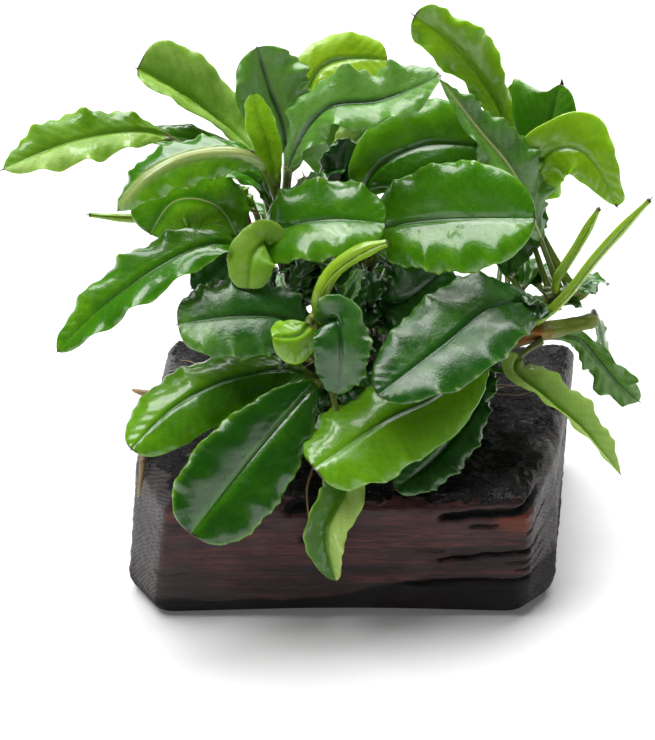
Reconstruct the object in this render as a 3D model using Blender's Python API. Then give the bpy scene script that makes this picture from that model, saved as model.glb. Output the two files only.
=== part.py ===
"""Wavy bucephalandra growing on a sawn driftwood block, one object for each piece of the plant.

The block stands on its flat underside. A creeping rhizome lies along its top and sends branches up, to the
sides and to the back. Each leaf is one piece, stalk and blade together, and springs from its own place on a
branch. Frame: metres, +Z up, origin at the middle of the block's underside, +X right and +Y to the back.
Sizes below are millimetres, and MM turns them into metres.
"""
import math
from dataclasses import dataclass

import bmesh
import bpy
import numpy as np
from mathutils import Vector

MM = 0.001
SHARP_ANGLE = math.radians(50)
PATH_SAMPLES = 200

# The driftwood block: its outlines at the foot and at the top, from the front left corner round to the right
FOOT_OUTLINE = ((-46, -34), (41, -34), (49, -27), (56, 30), (-46, 34), (-53, -24))
TOP_OUTLINE = ((-41, -34), (41, -34), (49, -10), (58, 34), (-45, 36), (-50, -15))
EDGE_STEPS = (6, 2, 3, 6, 4, 2)
CORNER_CUT = 2.0
TOP_HEIGHT = 34.0
BLOCK_RINGS = ((0, 2.6), (1.4, 0.8), (4, 0), (12, 0), (21, 0), (29.5, 0.2), (33, 1.0), (34.4, 7), (35.2, 20))
LEDGE_DEPTH = 0.7
LEDGE_SPACING = 11.0
LEDGE_TURNS = 3
WAVER_TURNS = 5

# The rhizome and its branches
RHIZOME_RADIUS = 2.2
SCAR_SWELL = 0.06
RHIZOME_TAPER = 0.1
RHIZOME_POINTS = 10

# The leaves
STALK_RADIUS = 0.65
ROOT_CLEARANCE = 0.65
CROWN_LEAN = 1.2
SCAR_REACH = 0.02
BLADE_REACH = 0.01
MIDRIB_THICKNESS = 0.8
EDGE_THICKNESS = 0.3
TIP_THICKNESS = 0.2
BLADE_THINNING = 0.6
CAMBER_SHARE = 0.45
FOLD_RUN = 0.25
TIP_SHARE = 0.25
STALK_RINGS = 3
WAVE_LAG = 2.2


@dataclass(frozen=True)
class Finish:
    """The colour and gloss of one kind of surface."""

    name: str
    colour: tuple
    roughness: float


WOOD = Finish("wet_dark_wood", (0.05, 0.03, 0.026), 0.4)
STEM = Finish("brown_rhizome", (0.16, 0.09, 0.04), 0.5)
GLOSSY = Finish("glossy_green_leaf", (0.07, 0.20, 0.025), 0.22)
DARK = Finish("dark_sheen_leaf", (0.02, 0.09, 0.045), 0.25)
BRIGHT = Finish("yellow_green_leaf", (0.20, 0.40, 0.04), 0.35)
PALE = Finish("pale_underside_leaf", (0.24, 0.38, 0.13), 0.5)
ROLLED = Finish("pale_rolled_leaf", (0.34, 0.50, 0.12), 0.4)


@dataclass(frozen=True)
class Leaf:
    """One leaf, sizes in millimetres.

    place is the share of the branch's length at which the stalk springs. midrib lists the points that the
    midrib passes through, the tip last. face points out of the upper side. stalk is the share of the leaf
    that is bare stalk, fold the angle that each half rises from the midrib, wave the height of the waves
    along the margin.
    rise and taper shape the outline: a small rise makes a broad base, and a small taper a blunt tip.
    """

    name: str
    place: float
    midrib: tuple
    face: tuple
    width: float
    finish: Finish
    stalk: float = 0.3
    fold: float = 15
    rise: float = 0.8
    taper: float = 0.5
    wave: float = 1.1
    waves: int = 5
    rings: int = 11


@dataclass(frozen=True)
class Branch:
    """One stretch of rhizome, from fork to tip, and the leaves that it carries."""

    name: str
    route: tuple
    leaves: tuple = ()


BACK_LEFT_LEAVES = (
    Leaf("leaf_left_shaded", 0.88, ((-23, 22, 89), (-33, 23, 95), (-47, 23, 97)),
         (0.3, -0.1, 0.9), 9, GLOSSY, stalk=0.35, fold=10),
    Leaf("leaf_left_tall", 1, ((-21, 25, 90), (-29, 30, 96), (-38, 31, 103), (-49, 31, 110)),
         (0.5, -0.4, 0.8), 21.5, PALE, stalk=0.25, fold=38, rise=0.75, taper=0.35),
    Leaf("leaf_left_slim", 0.9, ((-18, 11, 98), (-20, 4, 110), (-21, -1, 119)),
         (0.2, -0.9, -0.5), 8, BRIGHT, stalk=0.22, fold=15),
    Leaf("leaf_top_left_dark", 1, ((-15, 21, 99), (-18, 23, 108), (-21, 25, 118)),
         (0.5, -0.8, 0.3), 23, DARK, stalk=0.3, fold=28, rise=0.8, taper=0.38),
    Leaf("leaf_top_left_bright", 1, ((-11, 28, 100), (-6, 34, 109), (9, 40, 108)),
         (0.1, -0.7, 0.7), 13, BRIGHT, stalk=0.35, fold=5, rise=0.6, taper=0.4),
    Leaf("leaf_top_arching", 0.97, ((-13, 12, 97), (-5, 12, 109), (7, 12, 111), (20, 12, 117)),
         (-0.3, -0.5, 0.8), 16, DARK, stalk=0.22, fold=18, rise=0.8, taper=0.5),
    Leaf("leaf_left_pale_rib", 0.7, ((-22, 3, 101), (-34, -1, 104), (-44, -5, 101), (-51, -8, 94)),
         (-0.4, -0.3, 0.9), 14, GLOSSY, stalk=0.42, fold=42, rise=0.8, taper=0.7),
    Leaf("leaf_left_under", 0.8, ((-20, 13, 89), (-26, 13, 93), (-34, 12, 93), (-44, 10, 90)),
         (-0.1, -0.3, 0.9), 9, GLOSSY, stalk=0.25, fold=20, rise=0.8, taper=0.6),
    Leaf("leaf_rear_inner", 0.35, ((-16, 22, 52), (-24, 31, 52), (-33, 38, 43)),
         (-0.5, 0.5, 0.9), 17, GLOSSY, stalk=0.25, waves=4, rings=9),
)
LEFT_LEAVES = (
    Leaf("leaf_far_left", 1, ((-26, 17, 85), (-35, 17, 95), (-45, 14, 102), (-60, 9, 103), (-77, 2, 99)),
         (0.1, -0.5, 0.9), 14, PALE, stalk=0.42, fold=12, rise=1, taper=0.75),
    Leaf("leaf_left_rolled", 0.5, ((-31, 12, 79), (-42, 14, 80), (-51, 14, 80), (-60, 12, 82)),
         (0.2, -0.8, 0.5), 3.2, ROLLED, stalk=0.35, fold=50, wave=0.1, rings=7),
    Leaf("leaf_left_broad", 0.78, ((-30, 5, 88), (-39, 4, 90), (-45, 1, 83)),
         (0, -0.8, 0.6), 19, GLOSSY, stalk=0.25, fold=10, rise=0.8, taper=0.38),
    Leaf("leaf_left_small", 1, ((-22, 11, 84), (-25, 12, 86), (-27, 13, 89)),
         (0.5, -0.4, 0.7), 7, BRIGHT, stalk=0.4, fold=15, waves=3, rings=7),
    Leaf("leaf_left_drooping", 0.6,
         ((-25, -3, 82), (-33, -8, 85), (-41, -12, 83), (-55, -16, 74), (-65, -20, 65)),
         (-0.5, -0.4, 0.8), 13.5, GLOSSY, stalk=0.2, fold=12, rise=0.8, taper=0.6),
    Leaf("leaf_left_inner_dark", 0.55, ((-27, 4, 75), (-31, 2, 73), (-36, -1, 70)),
         (0.4, -0.9, 0.1), 11, DARK, stalk=0.3, fold=10),
    Leaf("leaf_left_hanging", 0.8, ((-21, -11, 88), (-21, -14, 78)),
         (0, -1, 0.3), 9, PALE, stalk=0.3, fold=10, waves=3, rings=7),
    Leaf("leaf_centre_left", 0.97, ((-16, 0, 85), (-4, -3, 89), (8, -5, 89)),
         (-0.2, -0.6, 0.8), 20, GLOSSY, stalk=0.1, fold=12, rise=0.55, taper=0.42),
)
CENTRE_LEAVES = (
    Leaf("leaf_centre_glossy", 1, ((6, 4, 83), (20, -1, 88), (41, -6, 91)),
         (-0.3, -0.7, 0.6), 26, GLOSSY, stalk=0.12, fold=12, rise=0.65, taper=0.48),
    Leaf("leaf_centre_upper", 1, ((5, 16, 90), (16, 17, 97), (32, 16, 97)),
         (-0.2, -0.7, 0.7), 21, GLOSSY, stalk=0.15, fold=12, rise=0.7, taper=0.5),
    Leaf("leaf_back_pale", 0.88, ((1, 26, 88), (1, 30, 91), (7, 34, 94)),
         (0.3, -0.7, 0.6), 11, PALE, stalk=0.35, waves=4, rings=9),
    Leaf("leaf_back_dark", 0.7, ((-2, 20, 86), (0, 23, 96)),
         (-0.1, -1, 0.3), 11, DARK, stalk=0.3, waves=4, rings=9),
    Leaf("leaf_inner_shaded", 0.6, ((12, 0, 66), (23, 4, 73)),
         (0, -0.8, 0.5), 16, DARK, stalk=0.2, waves=4, rings=9),
)
RIGHT_LEAVES = (
    Leaf("leaf_front_crinkled", 0.8, ((32, -8, 69), (21, -20, 67), (6, -33, 62)),
         (0.4, -0.6, 0.7), 23, DARK, stalk=0.08, fold=8, rise=0.48, taper=0.5),
    Leaf("leaf_right_dark_sheen", 0.9, ((42, 14, 81), (37, 15, 92), (29, 16, 102), (20, 17, 114)),
         (0.6, -0.6, 0.5), 16, DARK, stalk=0.2, fold=25, rise=0.8, taper=0.6),
    Leaf("leaf_top_right", 0.62,
         ((38, 25, 67), (39, 31, 85), (36, 34, 97), (29, 36, 108), (23, 36, 115), (15, 36, 121)),
         (0.3, -0.9, 0.4), 14.5, BRIGHT, stalk=0.45, fold=15, rise=0.75, taper=0.42),
    Leaf("leaf_right_upper", 0.85, ((42, 25, 80), (46, 27, 94), (49, 31, 106)),
         (-0.3, -0.9, 0.3), 13, GLOSSY, stalk=0.35, fold=12, rise=0.8, taper=0.6),
    Leaf("leaf_right_upper_small", 0.5, ((38, 31, 66), (40, 37, 79), (39, 42, 101)),
         (0, -1, 0.3), 6, BRIGHT, stalk=0.5, fold=12, waves=3, rings=7),
    Leaf("leaf_right_yellow", 0.95, ((42, 19, 81), (44, 20, 92), (50, 18, 97), (54, 16, 95), (61, 14, 83)),
         (0.1, -0.9, 0.4), 12, BRIGHT, stalk=0.3, fold=10, rise=0.7, taper=0.6),
    Leaf("leaf_right_rolled_short", 0.88, ((45, 5, 66), (50, 4, 75), (56, 2, 89)),
         (-0.3, -1, 0), 3.2, ROLLED, stalk=0.3, fold=40, wave=0.1, rings=7),
    Leaf("leaf_right_rolled_long", 0.7, ((43, -1, 61), (49, -2, 68), (56, -3, 80), (66, -5, 95)),
         (-0.3, -0.9, 0.1), 3.6, ROLLED, stalk=0.3, fold=40, wave=0.1, rings=7),
    Leaf("leaf_right_low_dark", 0.45, ((47, 6, 52), (53, 7, 54), (58, 6, 48), (63, 4, 41), (69, 2, 38)),
         (-0.4, -0.9, 0), 8, DARK, stalk=0.5, fold=20),
    Leaf("leaf_right_inner", 0.72, ((38, 15, 66), (40, 19, 73), (43, 21, 83)),
         (0.1, -0.9, 0.3), 10, DARK, stalk=0.2, fold=20, waves=4, rings=9),
    Leaf("leaf_front_right_under", 0.45, ((28, -16, 46), (20, -26, 41), (10, -36, 39)),
         (0.3, -0.6, 0.7), 12, DARK, stalk=0.2, fold=10),
    Leaf("leaf_front_right_broad", 0.58, ((20, -19, 53), (8, -29, 50), (-8, -39, 48)),
         (0.4, -0.7, 0.7), 23, GLOSSY, stalk=0.14, fold=8, rise=0.75, taper=0.36),
)
RIGHT_LOW_LEAVES = (
    Leaf("leaf_right_low_slim", 1, ((58, 10, 57), (60, 11, 49), (62, 10, 40)),
         (0.9, -0.4, 0.2), 7.5, GLOSSY, stalk=0.15, fold=15),
    Leaf("leaf_right_hanging", 0.3, ((38, -8, 53), (45, -11, 47), (53, -14, 41), (63, -18, 30)),
         (0.5, -0.4, 0.7), 12.5, PALE, stalk=0.15, fold=45, rise=0.5, taper=0.7),
)
FRONT_LEAVES = (
    Leaf("leaf_front_left_dark", 0.75, ((-14, -15, 70), (-24, -18, 73), (-38, -20, 72)),
         (0.2, -0.7, 0.7), 20, DARK, stalk=0.06, fold=8, rise=0.5, taper=0.38),
    Leaf("leaf_front_left_broad", 0.42, ((-13, -15, 57), (-26, -20, 57), (-38, -27, 54), (-49, -34, 50)),
         (0.2, -0.7, 0.6), 17, GLOSSY, stalk=0.06, fold=8, rise=0.85, taper=0.45),
    Leaf("leaf_front_long", 0.5, ((-8, -22, 57), (-22, -36, 47), (-35, -46, 34)),
         (0.1, -0.8, 0.7), 22.5, GLOSSY, stalk=0.12, fold=8, rise=0.8, taper=0.38),
    Leaf("leaf_front_folded", 0.78, ((-1, -30, 44), (-1, -35, 38), (-5, -39, 30), (-3, -40, 16)),
         (-0.2, -0.9, 0.2), 13, PALE, stalk=0.35, fold=40, rise=0.6, taper=0.7),
    Leaf("leaf_front_small", 0.97, ((-3, -26, 77), (-2, -30, 73), (-3, -31, 61)),
         (0, -1, 0.3), 12.5, DARK, stalk=0.08, fold=8, rise=0.5, taper=0.5, waves=4, rings=9),
    Leaf("leaf_front_cupped", 1, ((-11, -26, 73), (-17, -30, 75)),
         (0.5, -0.4, 0.7), 12, BRIGHT, stalk=0.1, fold=25, rise=0.5, taper=0.6, waves=2, rings=7),
    Leaf("leaf_front_rolled_new", 1, ((-7, -20, 78), (-4, -18, 84), (1, -17, 88), (8, -17, 91)),
         (-0.2, -0.9, 0.4), 3.6, ROLLED, stalk=0.2, fold=50, wave=0, rings=7),
    Leaf("leaf_front_twisted", 0.9, ((-2, -19, 76), (0, -17, 80), (2, -16, 84)),
         (0.5, -0.9, 0.1), 5, GLOSSY, stalk=0.2, fold=20, wave=0.5, waves=3, rings=7),
)
REAR_LEAVES = (
    Leaf("leaf_rear_centre_right", 1, ((14, 52, 68), (24, 60, 74), (34, 64, 69)),
         (0.3, 0.6, 0.8), 20, GLOSSY, stalk=0.25, waves=4, rings=9),
    Leaf("leaf_rear_centre_left", 1, ((2, 50, 70), (-6, 53, 82), (-9, 54, 95)),
         (-0.1, 1, 0.3), 19, GLOSSY, stalk=0.25, waves=4, rings=9),
    Leaf("leaf_rear_left", 0.8, ((-8, 46, 49), (-20, 52, 48), (-32, 58, 40)),
         (-0.4, 0.5, 0.9), 19, GLOSSY, stalk=0.3, waves=4, rings=9),
    Leaf("leaf_rear_right", 0.8, ((20, 46, 56), (30, 52, 59), (39, 56, 52)),
         (0.4, 0.5, 0.9), 18, GLOSSY, stalk=0.3, waves=4, rings=9),
    Leaf("leaf_rear_low_centre", 0.7, ((8, 54, 50), (8, 62, 40), (7, 66, 22)),
         (0, 1, 0.5), 20, GLOSSY, stalk=0.25, waves=4, rings=9),
    Leaf("leaf_rear_low_left", 0.5, ((-8, 44, 44), (-16, 54, 38), (-20, 62, 20)),
         (-0.3, 1, 0.5), 17, GLOSSY, stalk=0.25, waves=4, rings=9),
    Leaf("leaf_rear_low_right", 0.5, ((18, 44, 44), (27, 54, 37), (31, 62, 19)),
         (0.3, 1, 0.5), 18, GLOSSY, stalk=0.25, waves=4, rings=9),
)

BRANCHES = (
    Branch("rhizome_main", ((-16, 0, 38.2), (-6, 2, 38.4), (6, 0, 38.2), (19, -2, 38))),
    Branch("rhizome_back_left", ((-9, 7, 38), (-11, 11, 51), (-14, 17, 68), (-16, 20, 80)), BACK_LEFT_LEAVES),
    Branch("rhizome_left", ((-20, 6, 38), (-20, 7, 52), (-21, 9, 66), (-22, 10, 76)), LEFT_LEAVES),
    Branch("rhizome_centre", ((4, 6, 38), (3, 9, 52), (2, 12, 68), (3, 13, 76)), CENTRE_LEAVES),
    Branch("rhizome_right", ((21, 4, 38), (30, 5, 48), (40, 7, 58), (54, 9, 63)), RIGHT_LEAVES),
    Branch("rhizome_right_low", ((39, 1, 56), (47, 2, 57), (56, 4, 58)), RIGHT_LOW_LEAVES),
    Branch("rhizome_front", ((-2, -5, 38), (-4, -11, 52), (-7, -17, 66), (-8, -19, 72)), FRONT_LEAVES),
    Branch("rhizome_rear", ((8, 13, 38), (8, 24, 42), (7, 34, 48), (7, 42, 56)), REAR_LEAVES),
)


def unit(vectors):
    """Scales one vector, or each row of an array, to length 1."""
    return vectors / np.linalg.norm(vectors, axis=-1, keepdims=True)


def smooth_path(points, count):
    """Returns count points on a smooth cubic curve that passes through all of points."""
    p = np.asarray(points, float)
    knots = np.concatenate(([0.0], np.cumsum(np.sqrt(np.linalg.norm(np.diff(p, axis=0), axis=1)))))
    spans = np.diff(knots)[:, None]
    slopes = np.diff(p, axis=0) / spans
    tangents = np.empty_like(p)
    tangents[1:-1] = (slopes[:-1] * spans[1:] + slopes[1:] * spans[:-1]) / (spans[:-1] + spans[1:])
    tangents[0] = 1.5 * slopes[0] - 0.5 * tangents[1]
    tangents[-1] = 1.5 * slopes[-1] - 0.5 * tangents[-2]
    at = np.linspace(0.0, knots[-1], count)
    i = np.clip(np.searchsorted(knots, at, side="right") - 1, 0, len(p) - 2)
    span = spans[i]
    s = (at - knots[i])[:, None] / span
    start = (1 + 2 * s) * (1 - s) ** 2 * p[i] + s * (1 - s) ** 2 * span * tangents[i]
    end = s**2 * (3 - 2 * s) * p[i + 1] - s**2 * (1 - s) * span * tangents[i + 1]
    return start + end


def along(path, shares):
    """Returns the points that lie at these shares of a path's length."""
    lengths = np.concatenate(([0.0], np.cumsum(np.linalg.norm(np.diff(path, axis=0), axis=1))))
    wanted = np.asarray(shares) * lengths[-1]
    return np.stack([np.interp(wanted, lengths, path[:, axis]) for axis in range(3)], axis=1)


def directions(path, shares, reach):
    """Returns the path's direction at these shares of its length, measured over reach to each side."""
    shares = np.asarray(shares)
    ahead = along(path, np.clip(shares + reach, 0, 1))
    behind = along(path, np.clip(shares - reach, 0, 1))
    return unit(ahead - behind)


def material(piece_name, finish):
    """Makes the Principled material of one piece."""
    made = bpy.data.materials.new(f"{piece_name}_{finish.name}")
    made.use_nodes = True
    shader = made.node_tree.nodes["Principled BSDF"]
    shader.inputs["Base Color"].default_value = (*finish.colour, 1.0)
    shader.inputs["Roughness"].default_value = finish.roughness
    shader.inputs["Metallic"].default_value = 0.0
    return made


def split_outwards(bm):
    """Parts each four-sided face along the diagonal that bulges outwards, so that thin walls never cross."""
    for face in [face for face in bm.faces if len(face.verts) == 4]:
        a, b, c, d = face.verts
        bulge = (a.co + c.co - b.co - d.co).dot(face.normal)
        first, last = (a, c) if bulge > 0 else (b, d)
        bmesh.utils.face_split(face, first, last)


def loft(name, rings, origin):
    """Makes a closed body from rings of points in order, with a flat cap on the first and the last."""
    bm = bmesh.new()
    loops = [[bm.verts.new(Vector((point - origin) * MM)) for point in ring] for ring in rings]
    for lower, upper in zip(loops, loops[1:]):
        for i in range(len(lower)):
            j = (i + 1) % len(lower)
            bm.faces.new((lower[i], lower[j], upper[j], upper[i]))
    bm.faces.new(loops[0])
    bm.faces.new(loops[-1])
    bmesh.ops.recalc_face_normals(bm, faces=bm.faces)
    bm.normal_update()
    split_outwards(bm)
    mesh = bpy.data.meshes.new(name)
    bm.to_mesh(mesh)
    bm.free()
    mesh.shade_smooth()
    mesh.set_sharp_from_angle(angle=SHARP_ANGLE)
    return bpy.data.objects.new(name, mesh)


def place(piece, finish, origin, carrier=None, carrier_origin=(0, 0, 0)):
    """Puts a piece into the scene with its origin where it is joined to what carries it."""
    piece.data.materials.append(material(piece.name, finish))
    piece.parent = carrier
    piece.location = Vector((np.asarray(origin, float) - carrier_origin) * MM)
    bpy.context.scene.collection.objects.link(piece)


def outline_points(corners):
    """Walks once round an outline: it cuts each corner and divides each edge into even steps."""
    corners = np.array(corners, float)
    points = []
    for start, end, steps in zip(corners, np.roll(corners, -1, axis=0), EDGE_STEPS):
        cut = CORNER_CUT * unit(end - start)
        shares = np.linspace(0, 1, steps + 1)[:, None]
        points.append((start + cut) * (1 - shares) + (end - cut) * shares)
    return np.concatenate(points)


def driftwood_block():
    """Lofts the block from its foot to the crown of its top, with shallow growth ledges on its sides."""
    foot = outline_points(FOOT_OUTLINE)
    top = outline_points(TOP_OUTLINE)
    turn = np.arctan2(foot[:, 1], foot[:, 0])
    rings = []
    for height, inset in BLOCK_RINGS:
        share = min(height / TOP_HEIGHT, 1.0)
        flat = foot + (top - foot) * share
        reach = np.linalg.norm(flat, axis=1)
        waver = np.sin(2 * math.pi * height / LEDGE_SPACING + LEDGE_TURNS * turn)
        waver = waver + np.sin(WAVER_TURNS * turn + 1) / 2
        ledge = LEDGE_DEPTH * waver * math.sin(math.pi * share)
        flat = flat * ((reach - inset + ledge) / reach)[:, None]
        rings.append(np.column_stack((flat, np.full(len(flat), float(height)))))
    block = loft("driftwood_block", rings, np.zeros(3))
    place(block, WOOD, (0, 0, 0))
    return block


def rhizome(branch, carrier):
    """Makes a branch as a round tube that swells at each leaf scar and thins a little to the tip."""
    path = smooth_path(branch.route, RHIZOME_POINTS) - np.array(branch.route[0], float)
    curve = bpy.data.curves.new(branch.name, "CURVE")
    curve.dimensions = "3D"
    curve.bevel_depth = RHIZOME_RADIUS * MM
    curve.bevel_resolution = 2
    curve.use_fill_caps = True
    spline = curve.splines.new("POLY")
    spline.points.add(RHIZOME_POINTS - 1)
    for i, (knot, point) in enumerate(zip(spline.points, path)):
        knot.co = (*(point * MM), 1.0)
        scar = SCAR_SWELL if i % 2 else -SCAR_SWELL
        knot.radius = 1 - RHIZOME_TAPER * i / (RHIZOME_POINTS - 1) + scar
    spline.use_smooth = True
    tube = bpy.data.objects.new(branch.name, curve)
    place(tube, STEM, branch.route[0], carrier)
    return tube


def leaf_root(branch, leaf):
    """Returns where a stalk starts: just clear of the branch's side, or of its tip for the last leaves."""
    path = smooth_path(branch.route, PATH_SAMPLES)
    centre = along(path, [leaf.place])[0]
    forward = directions(path, [leaf.place], SCAR_REACH)[0]
    aside = np.array(leaf.midrib[0], float) - centre
    aside = unit(aside - aside.dot(forward) * forward)
    if leaf.place >= 1:
        aside = unit(aside + CROWN_LEAN * forward)
    return centre + aside * (RHIZOME_RADIUS + ROOT_CLEARANCE)


def leaf_rings(leaf, root):
    """Returns the leaf's cross-sections from root to tip, six points each.

    Each half rises from the midrib by the fold angle. The half width grows from the stalk as a power of the
    distance from the base, shrinks as a power of the distance to the tip, and has its peak scaled to 1. The
    margin rises and falls as a sine along the blade, and the two margins are out of step.
    """
    blade = np.concatenate(([0.0], (np.arange(leaf.rings - 1) + 0.5) / (leaf.rings - 1), [1.0]))
    stalk = np.linspace(0, leaf.stalk, STALK_RINGS, endpoint=False)
    shares = np.concatenate((stalk, leaf.stalk + (1 - leaf.stalk) * blade))
    path = smooth_path((root, *leaf.midrib), PATH_SAMPLES)
    spine = along(path, shares)
    forward = directions(path, shares, BLADE_REACH)
    up = unit(np.array(leaf.face, float))
    up = unit(up - (forward @ up)[:, None] * forward)
    right = np.cross(forward, up)

    b = np.clip((shares - leaf.stalk) / (1 - leaf.stalk), 0, 1)
    whole = leaf.rise + leaf.taper
    peak = (leaf.rise / whole) ** leaf.rise * (leaf.taper / whole) ** leaf.taper
    breadth = b**leaf.rise * (1 - b) ** leaf.taper / peak
    least = np.where(b >= 1, TIP_SHARE, 1) * STALK_RADIUS
    half = np.maximum(leaf.width / 2 * breadth, least)[:, None]
    lift = (math.radians(leaf.fold) * np.minimum(1, b / FOLD_RUN))[:, None]
    blade_depth = np.maximum(MIDRIB_THICKNESS * (1 - BLADE_THINNING * b), EDGE_THICKNESS)
    depth = np.where(b >= 1, TIP_THICKNESS, np.where(b <= 0, STALK_RADIUS * 2, blade_depth))[:, None]
    phase = 2 * math.pi * leaf.waves * b
    ripple = leaf.wave * breadth
    left_wave = (ripple * np.sin(phase))[:, None]
    right_wave = (ripple * np.sin(phase + WAVE_LAG))[:, None]

    left = spine - right * np.cos(lift) * half + up * (np.sin(lift) * half + left_wave)
    far = spine + right * np.cos(lift) * half + up * (np.sin(lift) * half + right_wave)
    crest = spine + up * depth / 2
    keel = spine - up * depth / 2
    left_middle = (left + spine) / 2 + up * depth * CAMBER_SHARE
    far_middle = (far + spine) / 2 + up * depth * CAMBER_SHARE
    return np.stack((left, left_middle, crest, far_middle, far, keel), axis=1)


def main():
    """Builds the block, the branches that grow on it and the leaves that each branch carries."""
    for old in list(bpy.data.objects):
        bpy.data.objects.remove(old)
    block = driftwood_block()
    for branch in BRANCHES:
        stem = rhizome(branch, block)
        for leaf in branch.leaves:
            root = leaf_root(branch, leaf)
            piece = loft(leaf.name, leaf_rings(leaf, root), root)
            place(piece, leaf.finish, root, stem, np.array(branch.route[0], float))


main()
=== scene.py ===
"""The looks of a wavy bucephalandra that grows on a sawn block of dark, wet driftwood.

Each leaf, each stretch of rhizome and the block is a fine surface in place of its plain solid. Roots, root
hairs and the small leaves of the crowns are surfaces of their own. Sizes and places are written in
millimetres, in the frame of the solids: the origin is the middle of the block's underside, +X is right,
+Y is the back and +Z is up. MM turns them into metres.
"""

import logging
import math
from dataclasses import dataclass, field
from enum import Enum
from typing import Any

import bpy
import numpy as np
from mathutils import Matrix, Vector


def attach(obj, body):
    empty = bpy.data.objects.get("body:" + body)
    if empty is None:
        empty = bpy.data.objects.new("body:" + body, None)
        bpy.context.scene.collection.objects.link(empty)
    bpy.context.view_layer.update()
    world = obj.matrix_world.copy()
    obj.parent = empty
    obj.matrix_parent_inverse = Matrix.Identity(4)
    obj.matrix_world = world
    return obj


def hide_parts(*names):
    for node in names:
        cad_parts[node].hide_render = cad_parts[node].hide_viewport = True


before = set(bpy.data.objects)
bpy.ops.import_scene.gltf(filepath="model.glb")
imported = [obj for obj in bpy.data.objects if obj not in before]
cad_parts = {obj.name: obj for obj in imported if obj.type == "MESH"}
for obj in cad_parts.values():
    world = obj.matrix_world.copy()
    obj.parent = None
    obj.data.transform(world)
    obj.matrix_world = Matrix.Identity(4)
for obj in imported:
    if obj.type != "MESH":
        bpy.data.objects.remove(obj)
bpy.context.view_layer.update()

MM = 0.001
BODY = "root"

Colour = tuple[float, float, float]
Point = tuple[float, float, float]
Points = np.ndarray
Values = dict[Any, Any] | None

log = logging.getLogger("bucephalandra")


def unit(vectors: Points) -> Points:
    """Scales one vector, or each row of an array, to length 1."""
    return vectors / np.linalg.norm(vectors, axis=-1, keepdims=True)


def ease(values: np.ndarray, low: float, high: float) -> np.ndarray:
    """Climbs smoothly from 0 at low to 1 at high, as the cubic 3s^2 - 2s^3 of the share s between them."""
    share = np.clip((values - low) / (high - low), 0.0, 1.0)
    return share * share * (3.0 - 2.0 * share)


def ridge(values: np.ndarray, width: float) -> np.ndarray:
    """A bell of height 1 round zero: e to the power of minus (value / width) squared."""
    return np.exp(-((values / width) ** 2))


def smooth_path(points: Any, count: int) -> Points:
    """Carries a smooth cubic curve through points, with knots spaced by the root of each chord.

    Args:
        points: the places that the curve passes through, in order.
        count: how many points to return.

    Returns:
        An array (count, 3) of points on the curve.
    """
    p = np.asarray(points, float)
    knots = np.concatenate(([0.0], np.cumsum(np.sqrt(np.linalg.norm(np.diff(p, axis=0), axis=1)))))
    spans = np.diff(knots)[:, None]
    slopes = np.diff(p, axis=0) / spans
    tangents = np.empty_like(p)
    tangents[1:-1] = (slopes[:-1] * spans[1:] + slopes[1:] * spans[:-1]) / (spans[:-1] + spans[1:])
    tangents[0] = 1.5 * slopes[0] - 0.5 * tangents[1]
    tangents[-1] = 1.5 * slopes[-1] - 0.5 * tangents[-2]
    at = np.linspace(0.0, knots[-1], count)
    i = np.clip(np.searchsorted(knots, at, side="right") - 1, 0, len(p) - 2)
    span = spans[i]
    s = (at - knots[i])[:, None] / span
    start = (1 + 2 * s) * (1 - s) ** 2 * p[i] + s * (1 - s) ** 2 * span * tangents[i]
    end = s**2 * (3 - 2 * s) * p[i + 1] - s**2 * (1 - s) * span * tangents[i + 1]
    return start + end


def along(path: Points, shares: Any) -> Points:
    """Returns the points that lie at these shares of a path's length."""
    lengths = np.concatenate(([0.0], np.cumsum(np.linalg.norm(np.diff(path, axis=0), axis=1))))
    wanted = np.asarray(shares) * lengths[-1]
    return np.stack([np.interp(wanted, lengths, path[:, axis]) for axis in range(3)], axis=1)


def directions(path: Points, shares: Any, reach: float) -> Points:
    """Returns the path's direction at these shares of its length, measured over reach to each side."""
    shares = np.asarray(shares)
    ahead = along(path, np.clip(shares + reach, 0, 1))
    behind = along(path, np.clip(shares - reach, 0, 1))
    return unit(ahead - behind)


class Grain:
    """Smooth random relief in space: gradient noise on a lattice with one cell per unit."""

    def __init__(self, seed: int) -> None:
        """Shuffles the lattice and draws its gradients from a seed."""
        draw = np.random.RandomState(seed)
        self.order = np.tile(draw.permutation(256), 3)
        self.slopes = unit(draw.normal(size=(256, 3)))

    def __call__(self, points: Points) -> np.ndarray:
        """Blends the slopes of the eight lattice corners round each point.

        Args:
            points: an array (..., 3), in lattice cells.

        Returns:
            An array (...) of heights from about -0.7 to 0.7.
        """
        cell = np.floor(points).astype(int)
        inside = points - cell
        fade = inside**3 * (inside * (inside * 6 - 15) + 10)
        cell = cell & 255
        total = np.zeros(points.shape[:-1])
        for corner in np.ndindex(2, 2, 2):
            step = np.array(corner)
            at = cell + step
            pick = self.order[self.order[self.order[at[..., 0]] + at[..., 1]] + at[..., 2]]
            height = np.einsum("...i,...i->...", self.slopes[pick], inside - step)
            share = np.prod(np.where(step == 1, fade, 1 - fade), axis=-1)
            total += share * height
        return total


BROAD_GRAIN = Grain(11)
FINE_GRAIN = Grain(23)


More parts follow.
